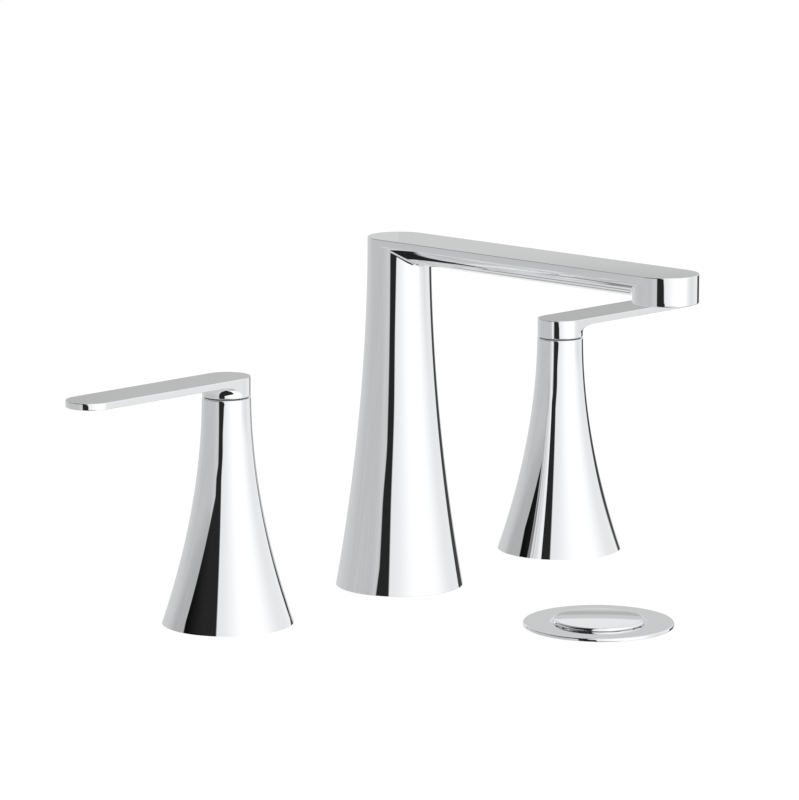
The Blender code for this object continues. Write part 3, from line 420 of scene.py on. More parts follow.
def moulded_plastic(tone):
    """Moulded acetal with a spark-eroded grain."""
    material, maker, shader, place = surface("moulded_plastic")
    grain = maker.noise(place, 3200.0, 2.0)
    cloud = maker.noise(place, 150.0, 3.0)
    pale = tuple(part * 1.25 for part in tone)
    feed(
        maker, shader,
        Base_Color=maker.blend(cloud.between(0.3, 0.7), tone, pale),
        Roughness=cloud * 0.1 + 0.4,
        Normal=bumped(maker, grain, 0.02 * MM, 0.4),
    )
    return material


def lapped_ceramic(tone):
    """Lapped alumina: off-white with faint specks."""
    material, maker, shader, place = surface("lapped_ceramic")
    specks = maker.noise(place, 1500.0, 2.0).between(0.62, 0.75)
    cloud = maker.noise(place, 200.0, 3.0)
    grey = tuple(part * 0.86 for part in tone)
    feed(
        maker, shader,
        Base_Color=maker.blend(specks * 0.7, tone, grey),
        Roughness=cloud * 0.08 + 0.14,
        Normal=bumped(maker, cloud, 0.005 * MM, 0.3),
    )
    return material


MAKERS = {
    "chrome": polished_chrome,
    "brass": machined_brass,
    "steel": stainless_steel,
    "rubber": black_rubber,
    "plastic": moulded_plastic,
    "ceramic": lapped_ceramic,
}
made_finishes = {}


def finish(slot):
    """The material of one of the record's slots, made the first time it is asked for."""
    if slot not in made_finishes:
        tones = bpy.context.scene.faucet.finishes
        made_finishes[slot] = MAKERS[slot](tuple(getattr(tones, slot)))
    return made_finishes[slot]


# Mesh helpers


def rounded(corners, steps=4):
    """An outline with arcs at its corners, given as (radius, height, rounding) or without one."""
    outline = []
    for k, corner in enumerate(corners):
        here = Vector(corner[:2])
        size = corner[2] if len(corner) > 2 else 0
        if not size:
            outline.append(tuple(here))
            continue
        before = (Vector(corners[k - 1][:2]) - here).normalized()
        after = (Vector(corners[(k + 1) % len(corners)][:2]) - here).normalized()
        half = before.angle(after) / 2
        middle = here + (before + after).normalized() * size / math.sin(half)
        start = here + before * size / math.tan(half) - middle
        end = here + after * size / math.tan(half) - middle
        sweep = start.angle(end)
        for step in range(steps + 1):
            share = step / steps
            spoke = (start * math.sin((1 - share) * sweep) + end * math.sin(share * sweep)) / math.sin(sweep)
            outline.append(tuple(middle + spoke))
    return outline


def patch(bm, rows, closed=False):
    """Faces between neighbouring rows of points of the same length; closed joins the last to the first."""
    made = [[bm.verts.new(point) for point in row] for row in rows]
    if closed:
        made.append(made[0])
    for near, far in zip(made, made[1:]):
        for k in range(len(near) - 1):
            corners = [near[k], far[k], far[k + 1], near[k + 1]]
            if len({tuple(round(c / MERGE) for c in vert.co) for vert in corners}) > 2:
                bm.faces.new(corners)


def cover(bm, points):
    """One flat face."""
    bm.faces.new([bm.verts.new(point) for point in points])


def spin(bm, outline, steps=96, closed=True):
    """Spins an outline of (radius, height) points about the station's axis."""
    if closed:
        outline = outline + outline[:1]
    rows = []
    for step in range(steps):
        turn = math.tau * step / steps
        rows.append([(r * math.cos(turn), r * math.sin(turn), z) for r, z in outline])
    patch(bm, rows, closed=True)


def standing(bm, place, heading=0.0):
    """Moves a mesh from its station to its place in the set."""
    matrix = Matrix.Translation((*place, 0)) @ Matrix.Rotation(heading, 4, "Z")
    bmesh.ops.transform(bm, matrix=matrix, verts=bm.verts)


def closed_mesh(name, bm):
    bmesh.ops.remove_doubles(bm, verts=bm.verts, dist=MERGE)
    bmesh.ops.dissolve_degenerate(bm, edges=bm.edges, dist=MERGE / 4)
    bmesh.ops.recalc_face_normals(bm, faces=bm.faces)
    mesh = bpy.data.meshes.new(name)
    bm.to_mesh(mesh)
    bm.free()
    return mesh


def evaluated(piece):
    """The plain mesh of an object with its modifiers worked in."""
    graph = bpy.context.evaluated_depsgraph_get()
    worked = piece.evaluated_get(graph)
    return bpy.data.meshes.new_from_object(worked, preserve_all_data_layers=True, depsgraph=graph)


def worked_in(piece):
    """Replaces the piece's mesh by the result of its modifiers, and removes them."""
    old = piece.data
    mesh = evaluated(piece)
    piece.modifiers.clear()
    piece.data = mesh
    mesh.name = piece.name
    bpy.data.meshes.remove(old)


def carved(piece, cutters):
    """Takes the cutters out of the piece."""
    for cutter in cutters:
        boolean = piece.modifiers.new("cut", "BOOLEAN")
        boolean.operation = "DIFFERENCE"
        boolean.solver = "EXACT"
        boolean.object = cutter
    worked_in(piece)
    for cutter in cutters:
        mesh = cutter.data
        bpy.data.objects.remove(cutter)
        bpy.data.meshes.remove(mesh)


def solid(name, bm):
    """A closed object in the scene, not yet dressed."""
    made = bpy.data.objects.new(name, closed_mesh(name, bm))
    bpy.context.scene.collection.objects.link(made)
    return made


def dressed(piece, slot, body, *nodes):
    """Gives a piece its finish, its even normals and its body, in place of the nodes that it stands for."""
    mesh = piece.data
    mesh.materials.clear()
    mesh.materials.append(finish(slot))
    mesh.polygons.foreach_set("material_index", [0] * len(mesh.polygons))
    mesh.shade_smooth()
    mesh.set_sharp_from_angle(angle=SHARP)
    even = piece.modifiers.new("even normals", "WEIGHTED_NORMAL")
    even.mode = "FACE_AREA"
    even.keep_sharp = True
    worked_in(piece)
    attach(piece, body)
    if nodes:
        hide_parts(*nodes)
    return piece


def level_rod(radius, start, end, height, towards):
    """A cutter: a level round rod from start to end, measured from the axis in the direction towards."""
    bm = bmesh.new()
    spin(bm, [(0, start), (radius, start), (radius, end), (0, end)], 24, closed=False)
    turn = Vector(towards).to_track_quat("Z", "Y").to_matrix().to_4x4()
    bmesh.ops.transform(bm, matrix=Matrix.Translation((0, 0, height)) @ turn, verts=bm.verts)
    return bm


# Geometry Nodes


class Plan(Maker):
    """A Geometry Nodes tree with named inputs."""

    def __init__(self, name, sizes):
        tree = bpy.data.node_groups.new(name, "GeometryNodeTree")
        super().__init__(tree)
        tree.interface.new_socket(name="Geometry", in_out="INPUT", socket_type="NodeSocketGeometry")
        for label, value in sizes.items():
            kind = "NodeSocketInt" if isinstance(value, int) else "NodeSocketFloat"
            socket = tree.interface.new_socket(name=label, in_out="INPUT", socket_type=kind)
            socket.default_value = value
        tree.interface.new_socket(name="Geometry", in_out="OUTPUT", socket_type="NodeSocketGeometry")
        self.given = self.add("NodeGroupInput")
        self.sizes = sizes

    def size(self, label):
        return self.given.out(label)

    def grow(self, shape, slot):
        """Ends the tree with Realize Instances and Set Material, runs it, and returns the plain mesh."""
        real = self.add("GeometryNodeRealizeInstances", {}, (shape,)).out()
        painted = self.add("GeometryNodeSetMaterial", {}, {"Geometry": real, "Material": finish(slot)}).out()
        self.add("NodeGroupOutput", {}, (painted,))
        holder = bpy.data.objects.new(self.tree.name, bpy.data.meshes.new(self.tree.name))
        bpy.context.scene.collection.objects.link(holder)
        modifier = holder.modifiers.new("plan", "NODES")
        modifier.node_group = self.tree
        for item in self.tree.interface.items_tree:
            if item.in_out == "INPUT" and item.name in self.sizes:
                modifier[item.identifier] = self.sizes[item.name]
        mesh = evaluated(holder)
        empty = holder.data
        bpy.data.objects.remove(holder)
        bpy.data.meshes.remove(empty)
        return mesh


def lifted(mesh, height):
    """A working copy of a mesh, moved up; the mesh itself goes."""
    bm = bmesh.new()
    bm.from_mesh(mesh)
    bpy.data.meshes.remove(mesh)
    bmesh.ops.translate(bm, vec=(0, 0, height), verts=bm.verts)
    return bm


def flared_shell(name, height, foot, neck, power, rings, steps):
    """The outer wall of a flared body, upright at its top, by a rule on a grid."""
    sizes = {"Height": height, "Foot Radius": foot, "Neck Radius": neck, "Power": power}
    plan = Plan(name, {**sizes, "Rings": rings, "Steps": steps})
    grid = plan.add(
        "GeometryNodeMeshGrid", {}, (1.0, 1.0, plan.size("Rings") + 1.0, plan.size("Steps") + 1.0)
    ).out()
    place = plan.add("ShaderNodeSeparateXYZ", {}, (plan.add("GeometryNodeInputPosition").out(),))
    up = place.out(0) + 0.5
    turn = (place.out(1) + 0.5) * math.tau
    spread = (1.0 - up).most(0.0) ** plan.size("Power")
    radius = spread * (plan.size("Foot Radius") - plan.size("Neck Radius")) + plan.size("Neck Radius")
    moved = plan.add(
        "ShaderNodeCombineXYZ",
        {},
        (radius * turn.math("COSINE"), radius * turn.math("SINE"), up * plan.size("Height")),
    ).out()
    wall = plan.add("GeometryNodeSetPosition", {}, {"Geometry": grid, "Position": moved}).out()
    joined = plan.add("GeometryNodeMergeByDistance", {}, {"Geometry": wall, "Distance": MERGE}).out()
    return plan.grow(joined, "chrome")


# The spout


def flare(foot, neck, height, power, z):
    """Radius at height z of a body that is upright at its top and spreads towards its foot."""
    return neck + (foot - neck) * max(1 - z / height, 0) ** power


def quarter_round(size, steps=4):
    """Steps of a rounded edge as (how far in, how far up), from the wall to the top."""
    turns = [QUARTER * k / steps for k in range(steps + 1)]
    return [(size * (1 - math.cos(turn)), size * math.sin(turn)) for turn in turns]


def spout_solid(s):
    """The spout's outside, patch by patch: column, fillet, belly, sides, tip and flat top."""
    bm = bmesh.new()
    width = s.neck_radius
    shoulder = s.height - s.edge
    side_bottom = s.height - s.arm_side
    tip_bottom = s.height - s.tip_depth
    top_edge = quarter_round(s.edge)
    foot_edge = 0.15 * MM
    tip_edge = 0.45 * MM
    tip_round = [(width - back_in, tip_bottom + tip_edge - down) for back_in, down in quarter_round(tip_edge)]
    half_steps, column_steps, arm_steps, bend_steps = 48, 64, 16, 6
    front = [math.pi * k / half_steps - QUARTER for k in range(half_steps + 1)]
    back = [QUARTER + math.pi * k / half_steps for k in range(half_steps + 1)]
    bends = [QUARTER * k / bend_steps for k in range(bend_steps + 1)]

    def belly(y):
        return side_bottom - s.arm_belly * max(1 - (y / width) ** 2, 0)

    def wall(top):
        """Radius and height up the column, closer together near the foot, with a small round on the deck."""
        low = [(s.foot_radius - foot_edge + up, back_in) for back_in, up in quarter_round(foot_edge)]
        low = [(min(r, flare(s.foot_radius, width, s.height, s.flare, z)), z) for r, z in low]
        shares = [(k / column_steps) ** 1.15 for k in range(1, column_steps + 1)]
        rise = [foot_edge + (top - foot_edge) * share for share in shares]
        return low + [(flare(s.foot_radius, width, s.height, s.flare, z), z) for z in rise]

    rows = []
    for turn in back:
        points = wall(shoulder) + [(width - back_in, shoulder + up) for back_in, up in top_edge]
        rows.append([(r * math.cos(turn), r * math.sin(turn), z) for r, z in points])
    patch(bm, rows)

    rows, belly_rows, drum_rows = [], [], []
    for turn in front:
        y = width * math.sin(turn)
        size = s.fillet * math.cos(turn)
        start_z = belly(y) - size
        points = wall(start_z)
        rows.append([(r * math.cos(turn), r * math.sin(turn), z) for r, z in points])
        foot_r = points[-1][0]
        line = [(foot_r * math.cos(turn), foot_r * math.sin(turn), start_z)]
        for k, bend in enumerate(bends[1:], 1):
            share = k / bend_steps
            x = width * math.cos(turn) + size * (1 - math.cos(bend))
            bulge = (foot_r - width) * (1 - share)
            x += bulge * math.cos(turn)
            line.append((x, y + bulge * math.sin(turn), start_z + size * math.sin(bend)))
        far = s.arm_reach - width * math.cos(turn)
        corner = s.tip_fillet * math.cos(turn)
        near = line[-1][0]
        line += [(near + (far - corner - near) * k / arm_steps, y, belly(y)) for k in range(1, arm_steps + 1)]
        belly_rows.append(line)
        row = [(far - corner * (1 - math.sin(b)), y, belly(y) - corner * (1 - math.cos(b))) for b in bends]
        fall = belly(y) - corner - tip_bottom - tip_edge
        drum = [(width, belly(y) - corner - fall * k / 6) for k in range(1, 7)]
        drum += tip_round
        row += [(s.arm_reach - r * math.cos(turn), r * math.sin(turn), z) for r, z in drum]
        drum_rows.append(row)
    patch(bm, rows)
    patch(bm, belly_rows)
    patch(bm, drum_rows)
    along = [point[0] for point in belly_rows[0]]

    for way in (-1, 1):
        rows = []
        for x in along:
            points = [(width, side_bottom)] + [(width - back_in, shoulder + up) for back_in, up in top_edge]
            rows.append([(x, way * r, z) for r, z in points])
        patch(bm, rows)

    rows = []
    for turn in front:
        points = [(width - back_in, shoulder + up) for back_in, up in reversed(top_edge)]
        points += [(width, side_bottom)]
        fall = side_bottom - tip_bottom - tip_edge
        points += [(width, side_bottom - fall * k / 6) for k in range(1, 7)]
        points += tip_round
        rows.append([(s.arm_reach + r * math.cos(turn), r * math.sin(turn), z) for r, z in points])
    patch(bm, rows)

    flat = width - s.edge
    outline = [(flat * math.cos(turn), flat * math.sin(turn), s.height) for turn in back]
    outline += [(x, -flat, s.height) for x in along[1:-1]]
    outline += [(s.arm_reach + flat * math.cos(turn), flat * math.sin(turn), s.height) for turn in front]
    outline += [(x, flat, s.height) for x in reversed(along[1:-1])]
    cover(bm, outline)

    inner = width - tip_edge
    around = front + [turn + math.pi for turn in front[1:-1]]
    cover(bm, [(s.arm_reach + inner * math.cos(a), inner * math.sin(a), tip_bottom) for a in around])
    sole = wall(shoulder)[0][0]
    cover(bm, [(sole * math.cos(a), sole * math.sin(a), 0) for a in around])
    return bm


def spout_cutters(s):
    """The column's cavity with the tube's socket, the aerator's bore, the arm's channel, the screw's hole."""
    ring_outer = reach("spout_base_insert") + GAP
    ring_lead = ring_outer + 0.4 * MM
    cavity_top = s.height - s.crown
    walls = []
    for k in range(17):
        z = SEAT_HEIGHT + (cavity_top - SEAT_HEIGHT) * k / 16
        wall = flare(s.foot_radius, s.neck_radius, s.height, s.flare, z) - CASTING_WALL
        walls.append((min(wall, ring_outer), z))
    socket = reach("waterway_tube") + GAP
    groove = reach("waterway_upper_o_ring") + GAP
    groove_bottom, groove_top = levels("waterway_upper_o_ring")
    groove_bottom -= GAP
    groove_top += GAP
    tube_top = levels("waterway_tube")[1] + GAP
    waterway = 4.0 * MM
    channel_width = 12.0 * MM
    channel_bottom = s.height - 5.8 * MM
    channel_top = s.height - 2.6 * MM
    way_top = channel_top - OVER / 2
    outline = [(0, -OVER), (ring_lead, -OVER), (ring_lead, 0), (ring_outer, ring_lead - ring_outer)]
    outline += [(ring_outer, SEAT_HEIGHT - GAP)] + walls
    outline += [(socket, cavity_top), (socket, groove_bottom), (groove, groove_bottom), (groove, groove_top)]
    outline += [(socket, groove_top), (socket, tube_top)]
    outline += [(waterway, tube_top), (waterway, way_top), (0, way_top)]
    cavity = bmesh.new()
    spin(cavity, outline, 96, closed=False)

    aerator_bore = bmesh.new()
    radius = reach("aerator_housing") + GAP
    tip_bottom = s.height - s.tip_depth
    top = levels("aerator_washer")[1] + GAP
    lip = 0.3 * MM
    outline = [(0, tip_bottom - OVER), (radius + lip, tip_bottom - OVER), (radius + lip, tip_bottom)]
    outline += [(radius, tip_bottom + lip), (radius, top), (0, top)]
    spin(aerator_bore, outline, 64, closed=False)
    bmesh.ops.translate(aerator_bore, vec=(s.arm_reach, 0, 0), verts=aerator_bore.verts)

    channel = bmesh.new()
    bmesh.ops.create_cube(channel, size=1)
    size = Vector((s.arm_reach + waterway, channel_width, channel_top - channel_bottom))
    bmesh.ops.scale(channel, vec=size, verts=channel.verts)
    middle = ((s.arm_reach - waterway) / 2, 0, (channel_top + channel_bottom) / 2)
    bmesh.ops.translate(channel, vec=middle, verts=channel.verts)

    height = sum(levels("spout_set_screw")) / 2
    hole = level_rod(SCREW_HOLE, ring_outer - CASTING_WALL, s.foot_radius + OVER, height, (-1, 0, 0))
    return [cavity, aerator_bore, channel, hole]


class FAUCET_OT_spout(bpy.types.Operator):
    """Makes the chrome casting: column, arm and tip"""

    bl_idname = "faucet.spout"
    bl_label = "Spout"

    def execute(self, context):
        s = context.scene.faucet.spout
        outside = spout_solid(s)
        standing(outside, (0, 0), -QUARTER)
        body = solid("spout_casting", outside)
        cutters = []
        for k, bm in enumerate(spout_cutters(s)):
            standing(bm, (0, 0), -QUARTER)
            cutters.append(solid(f"spout_cutter_{k}", bm))
        carved(body, cutters)
        dressed(body, "chrome", "root", "spout_body")
        return {"FINISHED"}


# The handles


class FAUCET_OT_bells(bpy.types.Operator):
    """Makes the two flared chrome bells"""

    bl_idname = "faucet.bells"
    bl_label = "Bells"

    def execute(self, context):
        s = context.scene.faucet.handles
        edge = s.edge
        steps = 96
        top = s.bell_height - edge
        shell = flared_shell(
            "flared_bell", s.bell_height, s.bell_foot_radius, s.bell_neck_radius, s.bell_flare, 90, steps
        )
        ring_outer = reach("left_retaining_ring") + GAP
        glide = reach("left_glide_ring") + GAP
        glide_seat = s.bell_height - 1.8 * MM
        bush = reach("left_neck_bush") + GAP
        cavity_top = s.bell_height - 14.0 * MM
        sizes = (s.bell_foot_radius, s.bell_neck_radius, s.bell_height, s.bell_flare)
        lining = [(s.bell_neck_radius, s.bell_height)]
        lining += [(glide, s.bell_height), (glide, glide_seat), (bush, glide_seat), (bush, cavity_top)]
        for k in range(16, -1, -1):
            z = SEAT_HEIGHT + (cavity_top - SEAT_HEIGHT) * k / 16
            wall = flare(*sizes, z) - CASTING_WALL
            lining.append((min(wall, ring_outer), z))
        lining += [(ring_outer, SEAT_HEIGHT), (ring_outer, 0), (s.bell_foot_radius, 0)]
        for side in SIDES:
            bm = bmesh.new()
            bm.from_mesh(shell)
            spin(bm, lining, steps, closed=False)
            standing(bm, centre(f"{side}_retaining_ring"))
            bell = solid(f"{side}_flared_bell", bm)
            round_edges(bell, top, edge)
            dressed(bell, "chrome", "root", f"{side}_bell")
        bpy.data.meshes.remove(shell)
        return {"FINISHED"}


def round_edges(piece, above, size):
    """Bevels the sharp edges of a piece that lie above a height."""
    bm = bmesh.new()
    bm.from_mesh(piece.data)
    edges = [
        edge for edge in bm.edges
        if edge.is_manifold and edge.calc_face_angle() > SHARP and min(v.co.z for v in edge.verts) > above
    ]
    bmesh.ops.bevel(bm, geom=edges, offset=size, segments=4, profile=0.5, affect="EDGES")
    bm.to_mesh(piece.data)
    bm.free()


def lever_solid(s, socket, socket_top):
    """A flat bar with round ends on a round hub, as columns of points round the hub's axis."""
    radius = s.hub_radius
    edge = s.edge
    hub_bottom, top = levels("left_lever")
    underside = top - s.lever_thickness
    steps = 40
    back = [QUARTER + math.pi * k / steps for k in range(steps + 1)]
    tip = [math.pi * k / steps - QUARTER for k in range(steps + 1)]
    sides = [s.lever_reach * (k / 37) ** 1.4 for k in range(1, 37)]

    def round_end(middle, turns):
        ways = [(math.cos(turn), math.sin(turn)) for turn in turns]
        return [(middle + radius * out_x, radius * out_y, out_x, out_y) for out_x, out_y in ways]

    outline = round_end(0, back) + [(x, -radius, 0, -1) for x in sides]
    outline += round_end(s.lever_reach, tip) + [(x, radius, 0, 1) for x in reversed(sides)]

    sections = []
    top_outline = []
    for x, y, out_x, out_y in outline:
        far = math.hypot(x, y)
        way = (x / far, y / far)

        def spoke(r, z):
            return (way[0] * r, way[1] * r, z)

        section = [spoke(0, socket_top), spoke(socket, socket_top), spoke(socket, hub_bottom + edge)]
        section += [spoke(socket + edge, hub_bottom), spoke(radius - edge, hub_bottom)]
        for k in range(1, 5):
            bend = QUARTER * k / 4
            out, up = edge * math.sin(bend) - edge, edge - edge * math.cos(bend)
            section.append(spoke(radius + out, hub_bottom + up))
        room = max(far - radius, 0)
        share_end = min(room / s.lever_fillet, 1)
        bend_end = math.acos(1 - share_end)
        for k in range(11):
            bend = bend_end * k / 10
            drop = s.lever_fillet * (1 - math.sin(bend))
            section.append(spoke(radius + s.lever_fillet * (1 - math.cos(bend)), underside - drop))
        lowest = section[-1][2]
        small = min(edge, room / 2)
        for back_in, up in quarter_round(small if room else edge, 4):
            if room:
                shift = small - up
                section.append((x - out_x * shift, y - out_y * shift, lowest + back_in))
            else:
                section.append((x, y, lowest + up))
        start = section[-1][2]
        section += [(x, y, start + (top - edge - start) * k / 2) for k in (1, 2)]
        for back_in, up in quarter_round(edge)[1:]:
            section.append((x - out_x * back_in, y - out_y * back_in, top - edge + up))
        sections.append(section)
        top_outline.append(section[-1])
    bm = bmesh.new()
    patch(bm, sections, closed=True)
    cover(bm, top_outline)
    return bm


class FAUCET_OT_levers(bpy.types.Operator):
    """Makes the two chrome levers"""

    bl_idname = "faucet.levers"
    bl_label = "Levers"

    def execute(self, context):
        s = context.scene.faucet.handles
        stem = 4.0 * MM
        socket_top = levels("left_stem_extension")[1] + GAP
        for side, heading, rear in (("left", math.pi, -1), ("right", 0.0, 1)):
            place = centre(f"{side}_glide_ring")
            bm = lever_solid(s, stem + GAP, socket_top)
            standing(bm, place, heading)
            lever = solid(f"{side}_lever_handle", bm)
            height = sum(levels(f"{side}_lever_set_screw")) / 2
            hole = level_rod(SCREW_HOLE, stem, s.hub_radius + OVER, height, (0, rear, 0))
            standing(hole, place, heading)
            carved(lever, [solid(f"{side}_lever_cutter", hole)])
            dressed(lever, "chrome", f"{side}_handle", f"{side}_lever")
        return {"FINISHED"}


# The drain


class FAUCET_OT_drain_top(bpy.types.Operator):
    """Makes the drain's flange and its mushroom cap"""

    bl_idname = "faucet.drain_top"
    bl_label = "Drain flange and cap"

    def execute(self, context):
        s = context.scene.faucet.drain
        place = centre("drain_flange")
        rim = reach("drain_flange")
        bottom, top = levels("drain_flange")
        spigot = s.throat_radius + 1.7 * MM
        relief = 0.15 * MM
        relief_end = spigot + 3.0 * MM
        inner = s.flange_edge - s.flange_recess
        recess = reach("drain_cap") + 0.5 * MM
        slope = 0.5 * MM
        outline = [
            (s.throat_radius, bottom, 0.3 * MM),
            (spigot, bottom, 0.3 * MM),
            (spigot, relief),
            (relief_end, relief),
            (relief_end, 0),
            (rim, 0, 0.3 * MM),
            (rim, top, 0.5 * MM),
            (recess + slope, top, 0.4 * MM),
            (recess, inner, 0.3 * MM),
            (s.throat_radius, inner, 0.35 * MM),
        ]
        bm = bmesh.new()
        spin(bm, rounded(outline, 6), 128)
        standing(bm, place)
        dressed(solid("dished_flange", bm), "chrome", "root", "drain_flange")

        radius = reach("drain_cap")
        plug_bottom, cap_top = levels("drain_cap")
        plug = s.throat_radius - GAP
        plug_edge = 0.5 * MM
        groove = reach("cap_seal") - 2.0 * MM - GAP
        groove_bottom, groove_top = levels("cap_seal")
        stem_hole = 3.3 * MM
        stem_top = levels("cap_stem")[1] + GAP
        rim_edge = 0.4 * MM
        outline = [(0, stem_top), (stem_hole, stem_top), (stem_hole, plug_bottom)]
        outline += [(plug - plug_edge, plug_bottom), (plug, plug_bottom + plug_edge)]
        outline += [(plug, groove_bottom - GAP), (groove, groove_bottom - GAP)]
        outline += [(groove, groove_top + GAP), (plug, groove_top + GAP), (plug, s.cap_underside)]
        outline += [
            (radius - rim_edge + up, s.cap_underside + back_in) for back_in, up in quarter_round(rim_edge)
        ]
        flat = radius - s.cap_shoulder
        shoulder_z = cap_top - s.cap_crown - s.cap_shoulder
        ball = (flat**2 + s.cap_crown**2) / (2 * s.cap_crown)
        lean = math.asin(flat / ball)
        for k in range(13):
            turn = (QUARTER - lean) * k / 12
            out, up = s.cap_shoulder * math.cos(turn), s.cap_shoulder * math.sin(turn)
            outline.append((flat + out, shoulder_z + up))
        edge_r, edge_z = outline[-1]
        for k in range(1, 21):
            share = 1 - k / 20
            outline.append((edge_r * share, edge_z + (cap_top - edge_z) * (1 - share**2)))
        bm = bmesh.new()
        spin(bm, outline, 128, closed=False)
        standing(bm, place)
        dressed(solid("mushroom_cap", bm), "chrome", "drain_stopper", "drain_cap")
        return {"FINISHED"}


# Under the deck


def hole_radius(node):
    """Radius of the hole of a round node."""
    x, y = centre(node)
    return min(math.hypot(vert.co.x - x, vert.co.y - y) for vert in frame["nodes"][node].data.vertices)


def turned_ring(node, name, slot, edge):
    """A ring in the place of a node, its edges rounded."""
    low, high = levels(node)
    inner, outer = hole_radius(node), reach(node)
    bm = bmesh.new()
    spin(bm, rounded([(inner, low, edge), (outer, low, edge), (outer, high, edge), (inner, high, edge)]))
    standing(bm, centre(node))
    dressed(solid(name, bm), slot, "root", node)


class FAUCET_OT_rings(bpy.types.Operator):
    """Makes the washers, gaskets and retaining rings, with rounded edges"""

    bl_idname = "faucet.rings"
    bl_label = "Washers and rings"

    def execute(self, context):
        for side in SIDES:
            turned_ring(f"{side}_deck_washer", f"{side}_soft_washer", "rubber", 0.6 * MM)
            turned_ring(f"{side}_base_gasket", f"{side}_soft_gasket", "rubber", 0.4 * MM)
            turned_ring(f"{side}_retaining_ring", f"{side}_brass_ring", "brass", 0.5 * MM)
            turned_ring(f"{side}_glide_ring", f"{side}_joint_ring", "plastic", 0.15 * MM)
        turned_ring("spout_deck_washer", "middle_soft_washer", "rubber", 0.6 * MM)
        turned_ring("sink_washer", "sink_seal", "rubber", 1.2 * MM)
        turned_ring("friction_washer", "slip_ring", "plastic", 0.3 * MM)
        return {"FINISHED"}


def chamfered_hexagon(across, hole, low, high):
    """A hexagonal nut, its corners turned off to cones above and below, its hole countersunk."""
    sixth = math.tau / 6
    face = across / 2
    cone = face * 0.985
    cone_slope = math.tan(math.radians(30))
    lead = 0.8 * MM
    steps = 144
    sections = []
    for k in range(steps):
        angle = math.tau * k / steps
        far = face / math.cos(angle % sixth - sixth / 2)
        fall = (far - cone) * cone_slope
        outline = [(hole, low + lead), (hole + lead, low), (cone, low), (far, low + fall)]
        outline += [(far, high - fall), (cone, high), (hole + lead, high), (hole, high - lead)]
        sections.append([(r * math.cos(angle), r * math.sin(angle), z) for r, z in outline + outline[:1]])
    bm = bmesh.new()
    patch(bm, sections, closed=True)
    return bm


class FAUCET_OT_nuts(bpy.types.Operator):
    """Makes the hexagonal brass nuts under the deck and the sink"""

    bl_idname = "faucet.nuts"
    bl_label = "Nuts"

    def execute(self, context):
        names = {
            "left_mounting_nut": "left_brass_nut",
            "right_mounting_nut": "right_brass_nut",
            "spout_mounting_nut": "middle_brass_nut",
            "drain_nut": "large_brass_nut",
        }
        for node, name in names.items():
            low, high = levels(node)
            box_low, box_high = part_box(node)
            across = min(box_high.x - box_low.x, box_high.y - box_low.y)
            bm = chamfered_hexagon(across, hole_radius(node), low, high)
            standing(bm, centre(node))
            dressed(solid(name, bm), "brass", "root", node)
        return {"FINISHED"}


def thread_groove(name, radius, low, high, pitch, depth):
    """A cutter for a thread: a square rod stood on its corner, wound round the shank."""
    rise = high - low
    sizes = {"Radius": radius, "Rise": rise, "Turns": rise / pitch, "Depth": depth, "Steps": 40, "Corners": 4}
    plan = Plan(name, sizes)
    inputs = {
        "Resolution": plan.size("Steps"),
        "Rotations": plan.size("Turns"),
        "Start Radius": plan.size("Radius"),
        "End Radius": plan.size("Radius"),
        "Height": plan.size("Rise"),
    }
    path = plan.add("GeometryNodeCurveSpiral", {}, inputs).out()
    path = plan.add("GeometryNodeSetCurveNormal", {"mode": "Z_UP"}, {"Curve": path}).out()
    ring = {"Resolution": plan.size("Corners"), "Radius": plan.size("Depth")}
    section = plan.add("GeometryNodeCurvePrimitiveCircle", {"mode": "RADIUS"}, ring).out()
    swept = {"Curve": path, "Profile Curve": section, "Fill Caps": True}
    wound = plan.add("GeometryNodeCurveToMesh", {}, swept).out()
    return lifted(plan.grow(wound, "brass"), low)


def threaded(node, name, place, threads):
    """A copy of a node with threads cut round an axis, each given by the sizes of its groove."""
    copy = bmesh.new()
    copy.from_mesh(frame["nodes"][node].data)
    body = solid(name, copy)
    cutters = []
    for k, sizes in enumerate(threads):
        groove = thread_groove(f"{name}_groove_{k}", **sizes)
        standing(groove, place)
        cutters.append(solid(f"{name}_groove_{k}", groove))
    carved(body, cutters)
    dressed(body, "brass", "root", node)


class FAUCET_OT_threads(bpy.types.Operator):
    """Cuts the threads of the valve bodies, the spout's shank and the drain body"""

    bl_idname = "faucet.threads"
    bl_label = "Threaded bodies"

    def execute(self, context):
        s = context.scene.faucet.threads
        start = -1.5 * MM
        shank = {"low": -37.5 * MM, "high": start, "pitch": s.shank_pitch, "depth": s.shank_depth}
        inlet = {"low": -71.0 * MM, "high": -56.0 * MM, "pitch": s.inlet_pitch, "depth": s.inlet_depth}
        middle = {"low": -51.0 * MM, "high": start, "pitch": s.shank_pitch, "depth": s.shank_depth}
        barrel = {"low": -60.0 * MM, "high": -4.0 * MM, "pitch": s.drain_pitch, "depth": s.drain_depth}
        for side in SIDES:
            place = centre(f"{side}_retaining_ring")
            threads = [{"radius": 14.5 * MM, **shank}, {"radius": 10.4 * MM, **inlet}]
            threaded(f"{side}_valve_body", f"{side}_brass_body", place, threads)
        threads = [{"radius": 12.5 * MM, **middle}]
        threaded("spout_shank", "middle_brass_shank", centre("spout_shank"), threads)
        threads = [{"radius": reach("drain_body"), **barrel}]
        threaded("drain_body", "drain_barrel", centre("drain_body"), threads)
        return {"FINISHED"}


